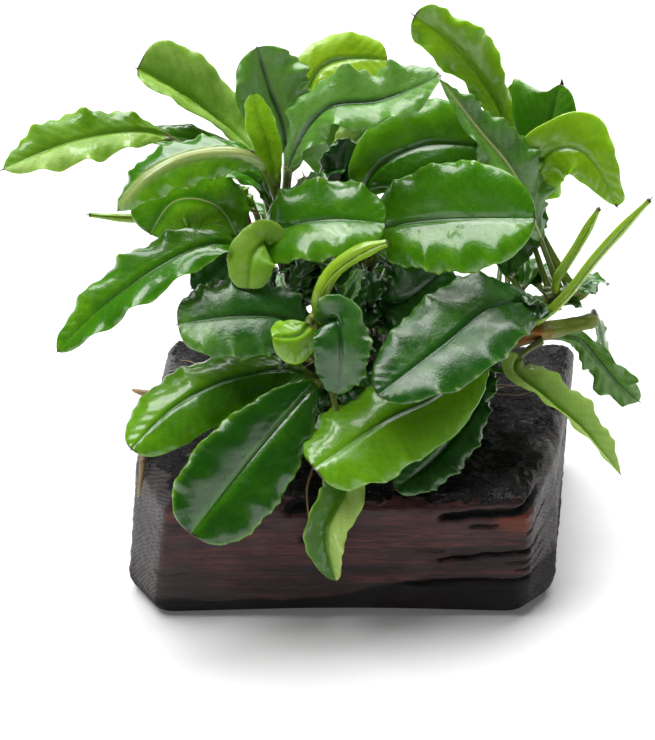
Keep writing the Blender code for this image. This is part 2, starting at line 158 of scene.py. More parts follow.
@dataclass
class Skin:
    """A closed surface, or several, as points, faces and one number per point for each named pattern."""

    points: Points
    faces: list[np.ndarray]
    patterns: dict[str, np.ndarray]

    @staticmethod
    def from_rings(rings: Points, patterns: dict[str, np.ndarray]) -> "Skin":
        """Joins rings of points in order and closes each end with a fan to the end ring's middle.

        Args:
            rings: an array (n, k, 3) of n rings with k points each.
            patterns: arrays (n, k), one number per point.

        Returns:
            The skin, with its faces turned outwards.
        """
        n, k = rings.shape[:2]
        i, j = np.meshgrid(np.arange(n - 1), np.arange(k), indexing="ij")
        beside = (j + 1) % k
        quads = np.stack((i * k + j, i * k + beside, (i + 1) * k + beside, (i + 1) * k + j), -1)
        first, last = n * k, n * k + 1
        j = np.arange(k)
        start = np.stack((np.full(k, first), (j + 1) % k, j), -1)
        end = np.stack((np.full(k, last), (n - 1) * k + j, (n - 1) * k + (j + 1) % k), -1)
        points = np.concatenate((rings.reshape(-1, 3), rings[:1].mean(1), rings[-1:].mean(1)))
        kept = {
            name: np.concatenate((np.ravel(values), [values[0].mean(), values[-1].mean()]))
            for name, values in patterns.items()
        }
        skin = Skin(points, [quads.reshape(-1, 4), np.concatenate((start, end))], kept)
        return skin if skin.volume() > 0 else skin.turned()

    def volume(self) -> float:
        """Adds up the signed volumes of the tetrahedra between the origin and each face."""
        total = 0.0
        for faces in self.faces:
            corners = self.points[faces]
            for a in range(1, faces.shape[1] - 1):
                span = np.cross(corners[:, a], corners[:, a + 1])
                total += float(np.einsum("ij,ij->", corners[:, 0], span)) / 6
        return total

    def turned(self) -> "Skin":
        """Turns every face over."""
        return Skin(self.points, [faces[:, ::-1] for faces in self.faces], self.patterns)

    @staticmethod
    def joined(skins: list["Skin"]) -> "Skin":
        """Gathers several skins in one, each still closed on its own."""
        starts = np.cumsum([0] + [len(skin.points) for skin in skins[:-1]])
        sizes = range(len(skins[0].faces))
        faces = [np.concatenate([s.faces[f] + at for s, at in zip(skins, starts)]) for f in sizes]
        names = skins[0].patterns
        patterns = {name: np.concatenate([skin.patterns[name] for skin in skins]) for name in names}
        return Skin(np.concatenate([skin.points for skin in skins]), faces, patterns)

    def build(self, name: str, material: bpy.types.Material, slot: str) -> bpy.types.Object:
        """Makes the piece, with its place in its mesh, and lets it ride on the object's one body.

        Args:
            name: the piece's name.
            material: its finish.
            slot: the record's material slot that it takes its finish from; not used.

        Returns:
            The new object.
        """
        mesh = bpy.data.meshes.new(name)
        corners = np.concatenate([faces.ravel() for faces in self.faces])
        totals = np.concatenate([np.full(len(faces), faces.shape[1]) for faces in self.faces])
        starts = np.concatenate(([0], np.cumsum(totals)[:-1]))
        mesh.vertices.add(len(self.points))
        mesh.vertices.foreach_set("co", (self.points * MM).astype(np.float32).ravel())
        mesh.loops.add(len(corners))
        mesh.loops.foreach_set("vertex_index", corners.astype(np.int32))
        mesh.polygons.add(len(totals))
        mesh.polygons.foreach_set("loop_start", starts.astype(np.int32))
        mesh.update(calc_edges=True)
        mesh.polygons.foreach_set("use_smooth", np.ones(len(totals), bool))
        for pattern, values in self.patterns.items():
            layer = mesh.attributes.new(pattern, "FLOAT", "POINT")
            layer.data.foreach_set("value", values.astype(np.float32))
        mesh.validate()
        mesh.materials.append(material)
        piece = bpy.data.objects.new(name, mesh)
        bpy.context.scene.collection.objects.link(piece)
        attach(piece, BODY)
        return piece


class Socket:
    """An output of a shader node that can stand in Python arithmetic."""

    def __init__(self, graph: "Graph", link: bpy.types.NodeSocket) -> None:
        """Keeps the output and the graph that it belongs to."""
        self.graph = graph
        self.link = link

    def __add__(self, other: "Socket | float") -> "Socket":
        """Adds."""
        return self.graph.math("ADD", self, other)

    def __sub__(self, other: "Socket | float") -> "Socket":
        """Subtracts."""
        return self.graph.math("SUBTRACT", self, other)

    def __rsub__(self, other: float) -> "Socket":
        """Subtracts from a number."""
        return self.graph.math("SUBTRACT", other, self)

    def __mul__(self, other: "Socket | float") -> "Socket":
        """Multiplies."""
        return self.graph.math("MULTIPLY", self, other)

    def __truediv__(self, other: "Socket | float") -> "Socket":
        """Divides."""
        return self.graph.math("DIVIDE", self, other)

    def __pow__(self, other: float) -> "Socket":
        """Raises to a power."""
        return self.graph.math("POWER", self, other)

    __radd__ = __add__
    __rmul__ = __mul__

    def clear(self) -> "Socket":
        """Keeps the value between 0 and 1."""
        return self.graph.math("ADD", self, 0.0, clamp=True)

    def wave(self) -> "Socket":
        """Takes the sine."""
        return self.graph.math("SINE", self)

    def climb(self, low: float, high: float) -> "Socket":
        """Eases from 0 at low to 1 at high."""
        values = {"Value": self, "From Min": low, "From Max": high}
        settings = {"interpolation_type": "SMOOTHSTEP"}
        return Socket(self.graph, self.graph.node("ShaderNodeMapRange", settings, values).outputs[0])


class Graph:
    """The node tree of one material, filled by expressions on sockets."""

    def __init__(self, name: str) -> None:
        """Makes the material with its one Principled shader."""
        self.material = bpy.data.materials.new(name)
        self.material.use_nodes = True
        self.tree = self.material.node_tree
        self.shader = self.tree.nodes["Principled BSDF"]
        places = self.node("ShaderNodeTexCoord")
        self.place = Socket(self, places.outputs["Object"])

    def node(self, kind: str, settings: Values = None, values: Values = None) -> Any:
        """Adds one node, sets its settings first and then its sockets.

        Args:
            kind: the node's type.
            settings: its properties by name.
            values: its inputs by name or number, each a number, a colour, a vector or a Socket.

        Returns:
            The new node.
        """
        made = self.tree.nodes.new(kind)
        for name, setting in (settings or {}).items():
            setattr(made, name, setting)
        for name, value in (values or {}).items():
            self.feed(made.inputs[name], value)
        return made

    def feed(self, entry: bpy.types.NodeSocket, value: Any) -> None:
        """Links a Socket to an input, or sets the input to a constant."""
        if isinstance(value, Socket):
            self.tree.links.new(value.link, entry)
        elif entry.type == "RGBA":
            entry.default_value = (*value, 1.0)
        else:
            entry.default_value = value

    def math(self, operation: str, *values: "Socket | float", clamp: bool = False) -> Socket:
        """Adds one Math node for an operation on these values."""
        settings = {"operation": operation, "use_clamp": clamp}
        return Socket(self, self.node("ShaderNodeMath", settings, dict(enumerate(values))).outputs[0])

    def pattern(self, name: str) -> Socket:
        """Reads one of the piece's own patterns."""
        return Socket(self, self.node("ShaderNodeAttribute", {"attribute_name": name}).outputs["Fac"])

    def axis(self, name: str) -> Socket:
        """Reads one coordinate of the place on the piece, in millimetres."""
        return Socket(self, self.node("ShaderNodeSeparateXYZ", None, {0: self.place}).outputs[name]) / MM

    def stretched(self, scale: Point) -> Socket:
        """Scales the places on the piece, to draw a pattern out along an axis."""
        values = {"Vector": self.place, "Scale": scale}
        return Socket(self, self.node("ShaderNodeMapping", None, values).outputs[0])

    def cloud(self, size: float, detail: float = 2.0, place: Socket | None = None) -> Socket:
        """Soft random patches of about this size in millimetres, from 0 to 1."""
        values = {"Vector": place or self.place, "Scale": 1 / (size * MM), "Detail": detail}
        return Socket(self, self.node("ShaderNodeTexNoise", None, values).outputs[0])

    def cells(self, size: float, place: Socket | None = None) -> Socket:
        """The distance to the nearest of many scattered points, about this many millimetres apart."""
        values = {"Vector": place or self.place, "Scale": 1 / (size * MM)}
        return Socket(self, self.node("ShaderNodeTexVoronoi", None, values).outputs["Distance"])

    def mix(self, share: "Socket | float", first: Any, second: Any) -> Socket:
        """Goes from the first colour to the second as share goes from 0 to 1."""
        settings = {"data_type": "RGBA", "clamp_factor": True}
        return Socket(self, self.node("ShaderNodeMix", settings, {0: share, 6: first, 7: second}).outputs[2])

    def bump(self, height: Socket, depth: float) -> Socket:
        """Turns a height from 0 to 1 into a normal, for a relief of depth millimetres."""
        values = {"Height": height, "Distance": depth * MM, "Strength": 1.0}
        return Socket(self, self.node("ShaderNodeBump", None, values).outputs[0])

    def dress(self, **sockets: Any) -> bpy.types.Material:
        """Feeds the shader's inputs, with an underscore for each space in their names."""
        for name, value in sockets.items():
            self.feed(self.shader.inputs[name.replace("_", " ")], value)
        return self.material


@dataclass(frozen=True)
class LeafFinish:
    """The tissue of one kind of leaf: its colours, how wet it is and how much light glows through it.

    wetness is the share of the blade under water, film how glossy that water is and feather how softly it
    ends.
    """

    title: str
    main: Colour
    light: Colour
    deep: Colour
    margin: Colour
    under: Colour
    rib: Colour
    stalk: Colour = (0.1, 0.15, 0.016)
    roughness: float = 0.48
    specular: float = 0.32
    film: float = 0.85
    feather: float = 0.07
    wetness: float = 0.6
    glow: float = 0.15

    def material(self) -> bpy.types.Material:
        """Mixes the blade's colours by the leaf's own patterns, over mottled and faintly veined tissue."""
        g = Graph(f"leaf_{self.title}")
        tone_and_sheen, edge, side = g.pattern("tone_and_sheen"), g.pattern("edge"), g.pattern("under")
        rib, vein, gland_and_glint, stalk = g.pattern("rib"), g.pattern("vein"), g.pattern("gland_and_glint"), g.pattern("stalk")
        mottle, speckle = g.cloud(4.0, 4.0), g.cloud(0.45, 2.0)
        # Where a blade is made lighter, on some leaves that lighter green is a painted sheen; where it is
        # made deeper, it mixes towards the deep colour.
        shade = tone_and_sheen + (mottle - 0.5) * 1.1 + (speckle - 0.5) * 0.35
        colour = g.mix(shade.climb(0.0, 1.0), self.main, self.light)
        colour = g.mix((shade * -1.0).climb(0.0, 1.0), colour, self.deep)
        # The darker midrib line and the faint vein lines are painted shade of the grooves that they lie in.
        colour = g.mix(vein * 0.25, colour, self.rib)
        colour = g.mix((edge * (mottle * 1.6 - 0.1)).clear() * 0.8, colour, self.margin)
        colour = g.mix(rib * 0.75, colour, self.rib)
        colour = g.mix(side * 0.8, colour, self.under)
        colour = g.mix((g.pattern("cord") * (1.25 - speckle * 0.5)).clear(), colour, CORD)
        # Pale dots on the crests of the margin's ruffles: partly glands, partly painted glints.
        colour = g.mix(gland_and_glint, colour, GLAND_AND_GLINT)
        fibre = g.cloud(1.1, 4.0)
        bark = g.mix((fibre + g.pattern("aged") - 0.5).climb(0.3, 0.8), self.stalk, STALK_BROWN)
        colour = g.mix(stalk.climb(0.05, 0.45), colour, bark)
        colour = g.mix(g.pattern("drip"), colour, DRIP_TIP)
        water = g.cloud(3.4, 5.0) + (speckle - 0.5) * 0.22 + (self.wetness - 0.5)
        wet = water.climb(0.49 - self.feather, 0.49 + self.feather) * (1.0 - side * 0.6)
        relief = g.cells(0.3) * 0.4 + speckle * 0.8 + g.cloud(1.3, 2.0)
        return g.dress(
            Base_Color=colour,
            Roughness=self.roughness - wet * 0.27 + (speckle - 0.5) * 0.12,
            Specular_IOR_Level=self.specular,
            Coat_Weight=(wet * self.film).clear(),
            Coat_Roughness=0.13,
            Coat_IOR=1.45,
            Subsurface_Weight=self.glow,
            Subsurface_Radius=(0.6, 1.0, 0.15),
            Subsurface_Scale=0.0006,
            Normal=g.bump(relief, 0.065),
        )


GLAND_AND_GLINT: Colour = (0.5, 0.62, 0.28)
CORD: Colour = (0.46, 0.52, 0.19)
# The stalks' brown is deepened almost to black, partly to paint the shade on the stalks inside the crowns.
STALK_BROWN: Colour = (0.075, 0.024, 0.01)
DRIP_TIP: Colour = (0.035, 0.022, 0.008)


class LeafKind(Enum):
    """The kinds of leaf on this plant, by age and by how the light falls on them."""

    GLOSSY = LeafFinish(
        "glossy", (0.042, 0.185, 0.0012), (0.14, 0.36, 0.006), (0.009, 0.07, 0.001),
        (0.11, 0.3, 0.008), (0.1, 0.24, 0.02), (0.01, 0.07, 0.002), wetness=0.62)
    # The dark kind is the darker leaves' own deep green; on the leaves deep inside the crowns its dark
    # colours are painted shade, and its light colour serves on some blades as a painted grey-green sheen.
    DARK = LeafFinish(
        "dark", (0.012, 0.082, 0.004), (0.11, 0.28, 0.035), (0.003, 0.026, 0.003),
        (0.05, 0.18, 0.012), (0.05, 0.13, 0.03), (0.002, 0.024, 0.002), roughness=0.42, specular=0.55,
        film=0.35, feather=0.22, wetness=0.5, glow=0.1)
    BRIGHT = LeafFinish(
        "bright", (0.18, 0.38, 0.004), (0.32, 0.52, 0.012), (0.06, 0.2, 0.003),
        (0.26, 0.46, 0.015), (0.26, 0.43, 0.015), (0.1, 0.27, 0.004), wetness=0.5, glow=0.35)
    PALE = LeafFinish(
        "pale", (0.15, 0.33, 0.008), (0.36, 0.52, 0.12), (0.045, 0.15, 0.003),
        (0.25, 0.43, 0.03), (0.23, 0.38, 0.05), (0.08, 0.22, 0.006), wetness=0.44, glow=0.25)
    ROLLED = LeafFinish(
        "rolled", (0.24, 0.41, 0.014), (0.4, 0.55, 0.09), (0.12, 0.26, 0.008),
        (0.33, 0.48, 0.05), (0.3, 0.44, 0.05), (0.15, 0.3, 0.01), stalk=(0.22, 0.36, 0.012),
        wetness=0.5, glow=0.25)

    @property
    def slot(self) -> str:
        """The record's material slot of this kind."""
        return f"leaf_{self.value.title}"


class Section(Enum):
    """How a leaf's two halves stand to each other."""

    OPEN = "open"
    SCROLLED = "scrolled"


# How fine the stalks, the hairs at the tips and the curves are
STALK_RINGS = 12
DRIP_RINGS = 5
PATH_SAMPLES = 240
BLADE_REACH = 0.012

# Sizes that all leaves share, in millimetres or as shares
STALK_RADIUS = 0.65
STALK_FLARE = 0.55
FLARE_LENGTH = 3.0
ROOT_CLEARANCE = 0.65
CROWN_LEAN = 1.2
BLADE_THICKNESS = 0.34
KEEL_DEPTH = 0.5
GROOVE_DEPTH = 0.34
GROOVE_WIDTH = 0.62
SHOULDER_HEIGHT = 0.16
VEIN_SPACING = 2.9
VEIN_RELIEF = 0.07
WAVE_LAG = 2.2
LOBE_STEEPNESS = 2.5
CAMBER = 0.07
LIP = 0.07
HEEL_DEPTHS = (2.4, 1.2)
DRIP_RADIUS = 0.17
RIB_WIDTH = 0.3
SCROLL_TAPER = 0.5
SEAM_HEIGHT = 0.32
RHIZOME_RADIUS = 2.2


@dataclass(frozen=True)
class Lobe:
    """A lobe of a blade's margin, or a notch where its sizes are below 0.

    side is -1 for the left half and 1 for the right one, and place its share of the blade's length. out is
    how far it sticks out and on how far it is drawn towards the tip, both in millimetres. span is its half
    length, as a share of the blade's.
    """

    side: int
    place: float
    out: float
    on: float = 0.0
    span: float = 0.12


@dataclass(frozen=True)
class Leaf:
    """One leaf, stalk and blade together, sizes in millimetres.

    place is the share of the branch's length at which the stalk springs. midrib lists the points that the
    midrib passes through, the tip last. face points out of the upper side, and width is the blade's full
    width. stalk is the share of the leaf that is bare stalk, fold the angle that each half rises from the
    midrib, wave the height and waves the number of the waves along the margin. rise and taper shape the
    outline: a small rise makes a broad base, and a small taper a blunt tip. left, right and tip make those
    parts of the blade lighter (above 0) or deeper (below 0).
    roll turns the whole blade about its midrib, and a fold below 0 makes it hang to both sides of the
    midrib. drip is the length of the hair at the tip, ruffle the share of fine waves, cord the radius of a
    raised, pale midrib and girth the radius of the stalk, which is green at aged 0 and brown at aged 1.
    lobes change the outline here and there. rings and halves are the fineness of the blade: rings along it,
    and places across each half of each side.
    """

    name: str
    place: float
    midrib: tuple
    face: Point
    width: float
    kind: LeafKind
    stalk: float = 0.3
    fold: float = 15
    rise: float = 0.8
    taper: float = 0.5
    wave: float = 1.1
    waves: int = 5
    # left, right and tip lighten or deepen parts of the blade; on some blades the lighter parts are a
    # painted sheen.
    left: float = 0.0
    right: float = 0.0
    tip: float = 0.0
    section: Section = Section.OPEN
    roll: float = 0.0
    drip: float = 0.5
    ruffle: float = 0.3
    cord: float = 0.0
    girth: float = STALK_RADIUS
    aged: float = 0.55
    lobes: tuple = ()
    rings: int = 92
    halves: int = 13

    def places_across(self) -> tuple[np.ndarray, np.ndarray]:
        """Returns the places round a ring: the share of the half width, and 1 above or -1 below."""
        s = np.linspace(0, 1, self.halves + 1)
        half = 0.8 * s * s * (3 - 2 * s) + 0.2 * s
        top = np.concatenate((-half[::-1], half[1:]))
        across = np.concatenate((top, top[-2:0:-1]))
        side = np.concatenate((np.ones(len(top)), -np.ones(len(top) - 2)))
        return across, side

    def surface(self, root: Points, inward: Points) -> Skin:
        """Works out the leaf's skin.

        Each half rises from the midrib by the fold angle and arches by the camber. The half width grows as
        a power of the distance from the base and shrinks as a power of the distance to the tip. The margin
        rises and falls as a sine along the blade that fades towards the midrib, with finer ruffles near the
        edge, and the two margins are out of step. Each lobe is a bell along the margin. The midrib is a
        channel above and a keel below. A scrolled leaf is a rod whose outer margin makes a seam that winds
        slowly round it. Here b is the share of the blade's length, v the share of its half width, below 0
        on the left, and x the distance from the midrib.

        Args:
            root: where the stalk leaves the rhizome.
            inward: the direction from there into the rhizome.

        Returns:
            The closed skin with its patterns.
        """
        b = (1 - np.cos(np.linspace(0, math.pi, self.rings))) / 2
        stalk = np.linspace(0, self.stalk, STALK_RINGS, endpoint=False)
        shares = np.concatenate((stalk, self.stalk + (1 - self.stalk) * b))
        path = smooth_path((root, *self.midrib), PATH_SAMPLES)
        length = float(np.linalg.norm(np.diff(path, axis=0), axis=1).sum())
        spine = along(path, shares)
        forward = directions(path, shares, BLADE_REACH)
        heel = root + inward * np.array(HEEL_DEPTHS)[:, None]
        drip = np.linspace(0.15, 1, DRIP_RINGS)[:, None] * self.drip
        spine = np.concatenate((heel, spine, spine[-1] + forward[-1] * drip))
        forward = np.concatenate((forward[:1], forward[:1], forward, np.repeat(forward[-1:], DRIP_RINGS, 0)))
        shares = np.concatenate(([0.0, 0.0], shares, np.ones(DRIP_RINGS)))
        beyond = np.concatenate((np.zeros(len(shares) - DRIP_RINGS), drip[:, 0] / self.drip))
        up = unit(np.array(self.face, float))
        up = unit(up - (forward @ up)[:, None] * forward)
        aside = np.cross(forward, up)
        turned = np.radians(self.roll) * ease(shares, 0.0, self.stalk + 0.02)[:, None]
        cos, sin = np.cos(turned), np.sin(turned)
        up, aside = up * cos + aside * sin, aside * cos - up * sin

        v, side = self.places_across()
        b = np.clip((shares - self.stalk) / (1 - self.stalk), 0, 1)[:, None]
        reach = np.abs(v)[None, :]
        whole = self.rise + self.taper
        peak = (self.rise / whole) ** self.rise * (self.taper / whole) ** self.taper
        breadth = b**self.rise * (1 - b) ** self.taper / peak
        flare = 1 + STALK_FLARE * np.exp(-shares[:, None] * length / FLARE_LENGTH)
        drip_radius = DRIP_RADIUS * (1 - 0.8 * beyond[:, None])
        scrolled = self.section is Section.SCROLLED
        thinned = SCROLL_TAPER * ease(b, 0.72, 1) if scrolled else 0.8 * ease(b, 0, 1)
        swelling = 0.6 + 0.4 * ease(shares, 0.02, 0.3)[:, None] if scrolled else 1.0
        round_radius = np.where(b >= 1, drip_radius, self.girth * flare * swelling * (1 - thinned))
        blade = self.width / 2 * breadth
        half = (blade**3 + round_radius**3) ** (1 / 3)
        open_share = ease(blade / self.girth, 0.6, 3.2)

        seed = float(len(self.name) * 3.7 + self.width)
        turn = 2 * math.pi * self.waves * b
        drift = BROAD_GRAIN(np.concatenate((b * 3.3, b * 0 + seed, b * 0), axis=1))[:, None]
        turn = turn + drift * 1.2
        lag = np.where(v > 0, WAVE_LAG, 0.0)[None, :]
        patch = np.stack((b * self.waves * 0.55 + 0 * v, seed + 5.0 * (v > 0) + 0 * b, 0 * b + 0 * v), -1)
        uneven = np.clip(0.85 + 1.5 * BROAD_GRAIN(patch), 0.1, 1.7)
        ripple = np.sin(turn + lag) + 0.22 * np.sin(2 * turn + 1.3 * lag + seed)
        frill = np.sin(2.9 * turn + 2 * lag + seed)
        margin = self.wave * breadth * uneven
        lift = margin * (reach**3 * ripple + self.ruffle * reach**6 * frill)
        scallop = margin * reach**7 * (0.3 * np.cos(turn + 2.3 * lag) + (0.1 + 0.3 * self.ruffle) * frill)

        x = v[None, :] * half
        soft = np.sqrt(x * x + 0.5) - math.sqrt(0.5)
        angle = math.radians(self.fold) * np.minimum(1, b / 0.25)
        camber = CAMBER * half * 4 * reach * (1 - reach) - LIP * half * reach**5
        flat = np.cos(angle) * x + scallop * np.sign(x)
        rise = np.sin(angle) * soft + (camber + lift) * open_share
        onward = 0 * flat
        for lobe in self.lobes:
            share = ridge(b - lobe.place, lobe.span) * reach**LOBE_STEEPNESS * (np.sign(v) == lobe.side)
            flat = flat + lobe.side * lobe.out * share
            onward = onward + lobe.on * share
        place = spine[:, None] + aside[:, None] * flat[..., None] + up[:, None] * rise[..., None]
        place = place + forward[:, None] * onward[..., None]

        fade = open_share * (1 - b) ** 0.6
        body = BLADE_THICKNESS / 2 * (1 - 0.35 * reach) * np.sqrt(np.clip(1 - reach**10, 0, 1))
        tube = round_radius * np.sqrt(np.clip(1 - reach**2, 0, 1))
        thick = body * open_share + tube * (1 - open_share)
        keel = KEEL_DEPTH * ridge(x, 0.6) * fade
        groove = GROOVE_DEPTH * ridge(x, GROOVE_WIDTH) - SHOULDER_HEIGHT * ridge(np.abs(x) - 1.0, 0.4)
        groove = groove * open_share * (1 - b**3)
        if self.cord:
            groove = -self.cord * np.sqrt(np.clip(1 - (x / self.cord) ** 2, 0, 1)) * fade
            keel = 0.6 * KEEL_DEPTH * ridge(x, 0.6) * fade
        slant = (b * length * (1 - self.stalk) - np.abs(x) * 1.1) / VEIN_SPACING
        across_mask = ease(reach, 0.08, 0.2) * (1 - ease(reach, 0.75, 1.0))
        vein = np.cos(2 * math.pi * slant) * across_mask * open_share * min(1.0, length / 45)
        swell = (BROAD_GRAIN(place / 8.0) * 0.6 + FINE_GRAIN(place / 2.6) * 0.09) * ease(reach, 0.03, 0.3)
        swell = swell * open_share * np.minimum(1, half / 5)
        height = np.where(side > 0, thick - groove, -thick - keel) - VEIN_RELIEF * vein + swell
        if scrolled:
            seam = v[None, :] - 0.25 * np.sin(3.5 * b)
            flap = ease(seam, 0.1, 0.2) * (1 - 0.8 * ease(seam, 0.2, 1.0)) - 0.6 * ridge(seam - 0.1, 0.07)
            height = height + (side > 0) * SEAM_HEIGHT * round_radius * flap * ease(b, 0.0, 0.3) * (b < 1)
            vein = ease(np.cos(7.0 * v[None, :] + 1.1 * side + b), 0.6, 1.0) * (b > 0)
        place = place + up[:, None] * height[..., None]

        ones = np.ones_like(place[..., 0])
        crest = ease(frill, 0.8, 1.0) * ease(uneven, 0.6, 1.1)
        # Each half and the tip are made lighter or deeper; on some blades the lighter half is a painted
        # sheen.
        tone_and_sheen = (self.left * ease(-v, -0.05, 0.25) + self.right * ease(v, -0.05, 0.25))[None, :] * ones
        patterns = {
            "tone_and_sheen": tone_and_sheen + self.tip * ease(b, 0.45, 1.0) * ones,
            "edge": ease(reach, 0.86, 1.0) * open_share * ones,
            "under": (side < 0)[None, :] * open_share * ones,
            # The midrib's mask, where the colour darkens as painted shade of its groove.
            "rib": ridge(x, RIB_WIDTH) * open_share * (1 - b**4) * (self.cord == 0) * ones,
            "cord": ridge(x, self.cord * 0.95) * fade**0.3 * ones if self.cord else 0 * ones,
            "aged": self.aged * (1 - 0.6 * ease(shares, 0.0, self.stalk))[:, None] * ones,
            "vein": ease(vein, 0.55, 1.0) * ones,
            # The dots on the ruffles' crests, partly glands and partly painted glints.
            "gland_and_glint": 0.6 * crest * ease(reach, 0.93, 0.98) * (side > 0) * ease(breadth, 0.3, 0.6) * ones,
            "stalk": (1 - open_share) * (1 - ease(b, 0.0, 0.2)) * ones,
            "drip": np.maximum(ease(b, 0.985, 1.0), ease(beyond[:, None], 0, 0.2)) * ones,
        }
        return Skin.from_rings(place, patterns)


@dataclass(frozen=True)
class Branch:
    """One stretch of rhizome, from fork to tip, and the leaves that it carries.

    fresh is the share of its length at which the scarred rind gives way to fresh, ribbed leaf bases.
    """

    name: str
    source: Point
    route: tuple
    leaves: tuple = ()
    fresh: float = 0.82

    def path(self) -> Points:
        """Returns the points of the branch's own stretch, as its solid has them."""
        return smooth_path(self.route, PATH_SAMPLES)

    def root_of(self, leaf: Leaf) -> tuple[Points, Points]:
        """Finds where a leaf's stalk leaves the branch.

        Args:
            leaf: one of the branch's leaves.

        Returns:
            The place on the branch's side, or near its tip for the last leaves, and the way into the branch.
        """
        path = self.path()
        centre = along(path, [leaf.place])[0]
        forward = directions(path, [leaf.place], 0.02)[0]
        aside = np.array(leaf.midrib[0], float) - centre
        aside = unit(aside - aside.dot(forward) * forward)
        if leaf.place >= 1:
            aside = unit(aside + CROWN_LEAN * forward)
        return centre + aside * (RHIZOME_RADIUS + ROOT_CLEARANCE), -aside

    def skin(self) -> Skin:
        """Works out the bark: a tube that starts inside what it grows from and ends in a pointed bud.

        The radius thins to the tip and swells at each slanting leaf scar, over a wavering rind.

        Returns:
            The closed skin with its patterns.
        """
        path = smooth_path((self.source, *self.route), PATH_SAMPLES)
        length = float(np.linalg.norm(np.diff(path, axis=0), axis=1).sum())
        bud = unit(path[-1] - path[-5]) * np.array(BUD_RINGS)[:, None]
        shares = np.linspace(0, 1, int(length * BARK_RINGS_PER_MM))
        spine = np.concatenate((along(path, shares), path[-1] + bud))
        run = np.concatenate((shares, 1 + np.linalg.norm(bud, axis=1) / length)) * length
        angle = np.linspace(0, 2 * math.pi, BARK_SIDES, endpoint=False)[None, :]
        run = run[:, None] + 0 * angle
        slanted = run / SCAR_SPACING + 0.16 * np.sin(angle + run * 0.9)
        sheath = ease(run / length, self.fresh - 0.15, self.fresh + 0.08)
        scar = ridge((slanted % 1.0) - 0.5, 0.13) * (1 - 0.8 * sheath)
        taper = 1 - 0.1 * np.minimum(run / length, 1)
        close = np.sqrt(np.clip(1 - np.clip((run - length) / BUD_LENGTH, 0, 1) ** 1.6, 0.01, 1))
        around = np.stack((np.cos(angle) + 0 * run, np.sin(angle) + 0 * run, run * 0.3), -1)
        rind = BROAD_GRAIN(around * 1.4) * 0.35 + FINE_GRAIN(around * 4.5) * 0.14
        rind = rind + 0.22 * np.cos(4 * angle + run * 0.3) * sheath
        radius = (RHIZOME_RADIUS * 0.94 * taper + SCAR_HEIGHT * scar + rind) * close
        age = 1 - ease(run / length, self.fresh - 0.2, 1.02)
        patterns = {"scar": scar, "age": age, "tuft": 0 * run, "sheath": sheath}
        return tube(spine, radius, angle[0], patterns)


BARK_SIDES = 36
BARK_RINGS_PER_MM = 3.2
SCAR_SPACING = 3.1
SCAR_HEIGHT = 0.24
BUD_RINGS = (0.5, 1.0, 1.5, 2.0, 2.4)
BUD_LENGTH = 2.6


def tube(spine: Points, radius: np.ndarray, angle: np.ndarray, patterns: dict[str, np.ndarray]) -> Skin:
    """Carries a ring along a path: each ring lies square to the path, with its own radius at each angle.

    Args:
        spine: an array (n, 3) of points on the path.
        radius: an array (n, k) of radii.
        angle: an array (k,) of angles round the ring.
        patterns: arrays (n, k), one number per point.

    Returns:
        The closed skin.
    """
    forward = unit(np.gradient(spine, axis=0))
    straightest = np.argmin(np.abs(forward).max(axis=0))
    side = unit(np.cross(forward, np.eye(3)[straightest]))
    up = np.cross(side, forward)
    ring = np.cos(angle)[None, :, None] * side[:, None] + np.sin(angle)[None, :, None] * up[:, None]
    return Skin.from_rings(spine[:, None] + ring * radius[..., None], patterns)


@dataclass(frozen=True)
class StemFinish:
    """The rind of rhizome and roots: dark and woody when old, tan at the scars, green and red when young."""

    title: str
    old: Colour
    young: Colour
    scar: Colour
    flush: Colour
    roughness: float

    def material(self) -> bpy.types.Material:
        """Mixes the rind's colours by age and scars, with fine streaks and patches."""
        g = Graph(self.title)
        age, scar, sheath = g.pattern("age"), g.pattern("scar"), g.pattern("sheath")
        patch, fleck = g.cloud(2.2, 4.0), g.cloud(0.6, 3.0)
        colour = g.mix((age + (patch - 0.5) * 0.9).climb(0.2, 0.8), self.young, self.old)
        colour = g.mix(patch.climb(0.55, 0.75) * 0.6, colour, self.flush)
        colour = g.mix((scar * fleck * 1.3).climb(0.25, 0.9), colour, self.scar)
        fresh = g.mix((age + (patch - 0.5) * 0.8).climb(0.25, 0.75), self.young, SHEATH_ORANGE)
        colour = g.mix((sheath * (0.55 + patch)).climb(0.3, 0.8), colour, fresh)
        colour = g.mix(g.pattern("tuft"), colour, ROOT_TIP)
        return g.dress(
            Base_Color=colour,
            Roughness=self.roughness + (fleck - 0.5) * 0.3,
            Specular_IOR_Level=0.3,
            Coat_Weight=0.15,
            Coat_Roughness=0.15,
            Normal=g.bump(fleck * 0.7 + patch, 0.18),
        )


ROOT_TIP: Colour = (0.4, 0.3, 0.17)
SHEATH_ORANGE: Colour = (0.3, 0.12, 0.018)
# The old rind's near-black is partly the rhizome's own dark colour and partly painted shade, for the
# stretches deep inside the crowns.
BARK = StemFinish(
    "rhizome_bark", (0.012, 0.008, 0.006), (0.15, 0.2, 0.018), (0.09, 0.055, 0.03), (0.1, 0.024, 0.008), 0.5)
ROOT_SKIN = StemFinish(
    "root_skin", (0.1, 0.055, 0.024), (0.26, 0.17, 0.08), (0.3, 0.2, 0.1), (0.12, 0.045, 0.018), 0.5)


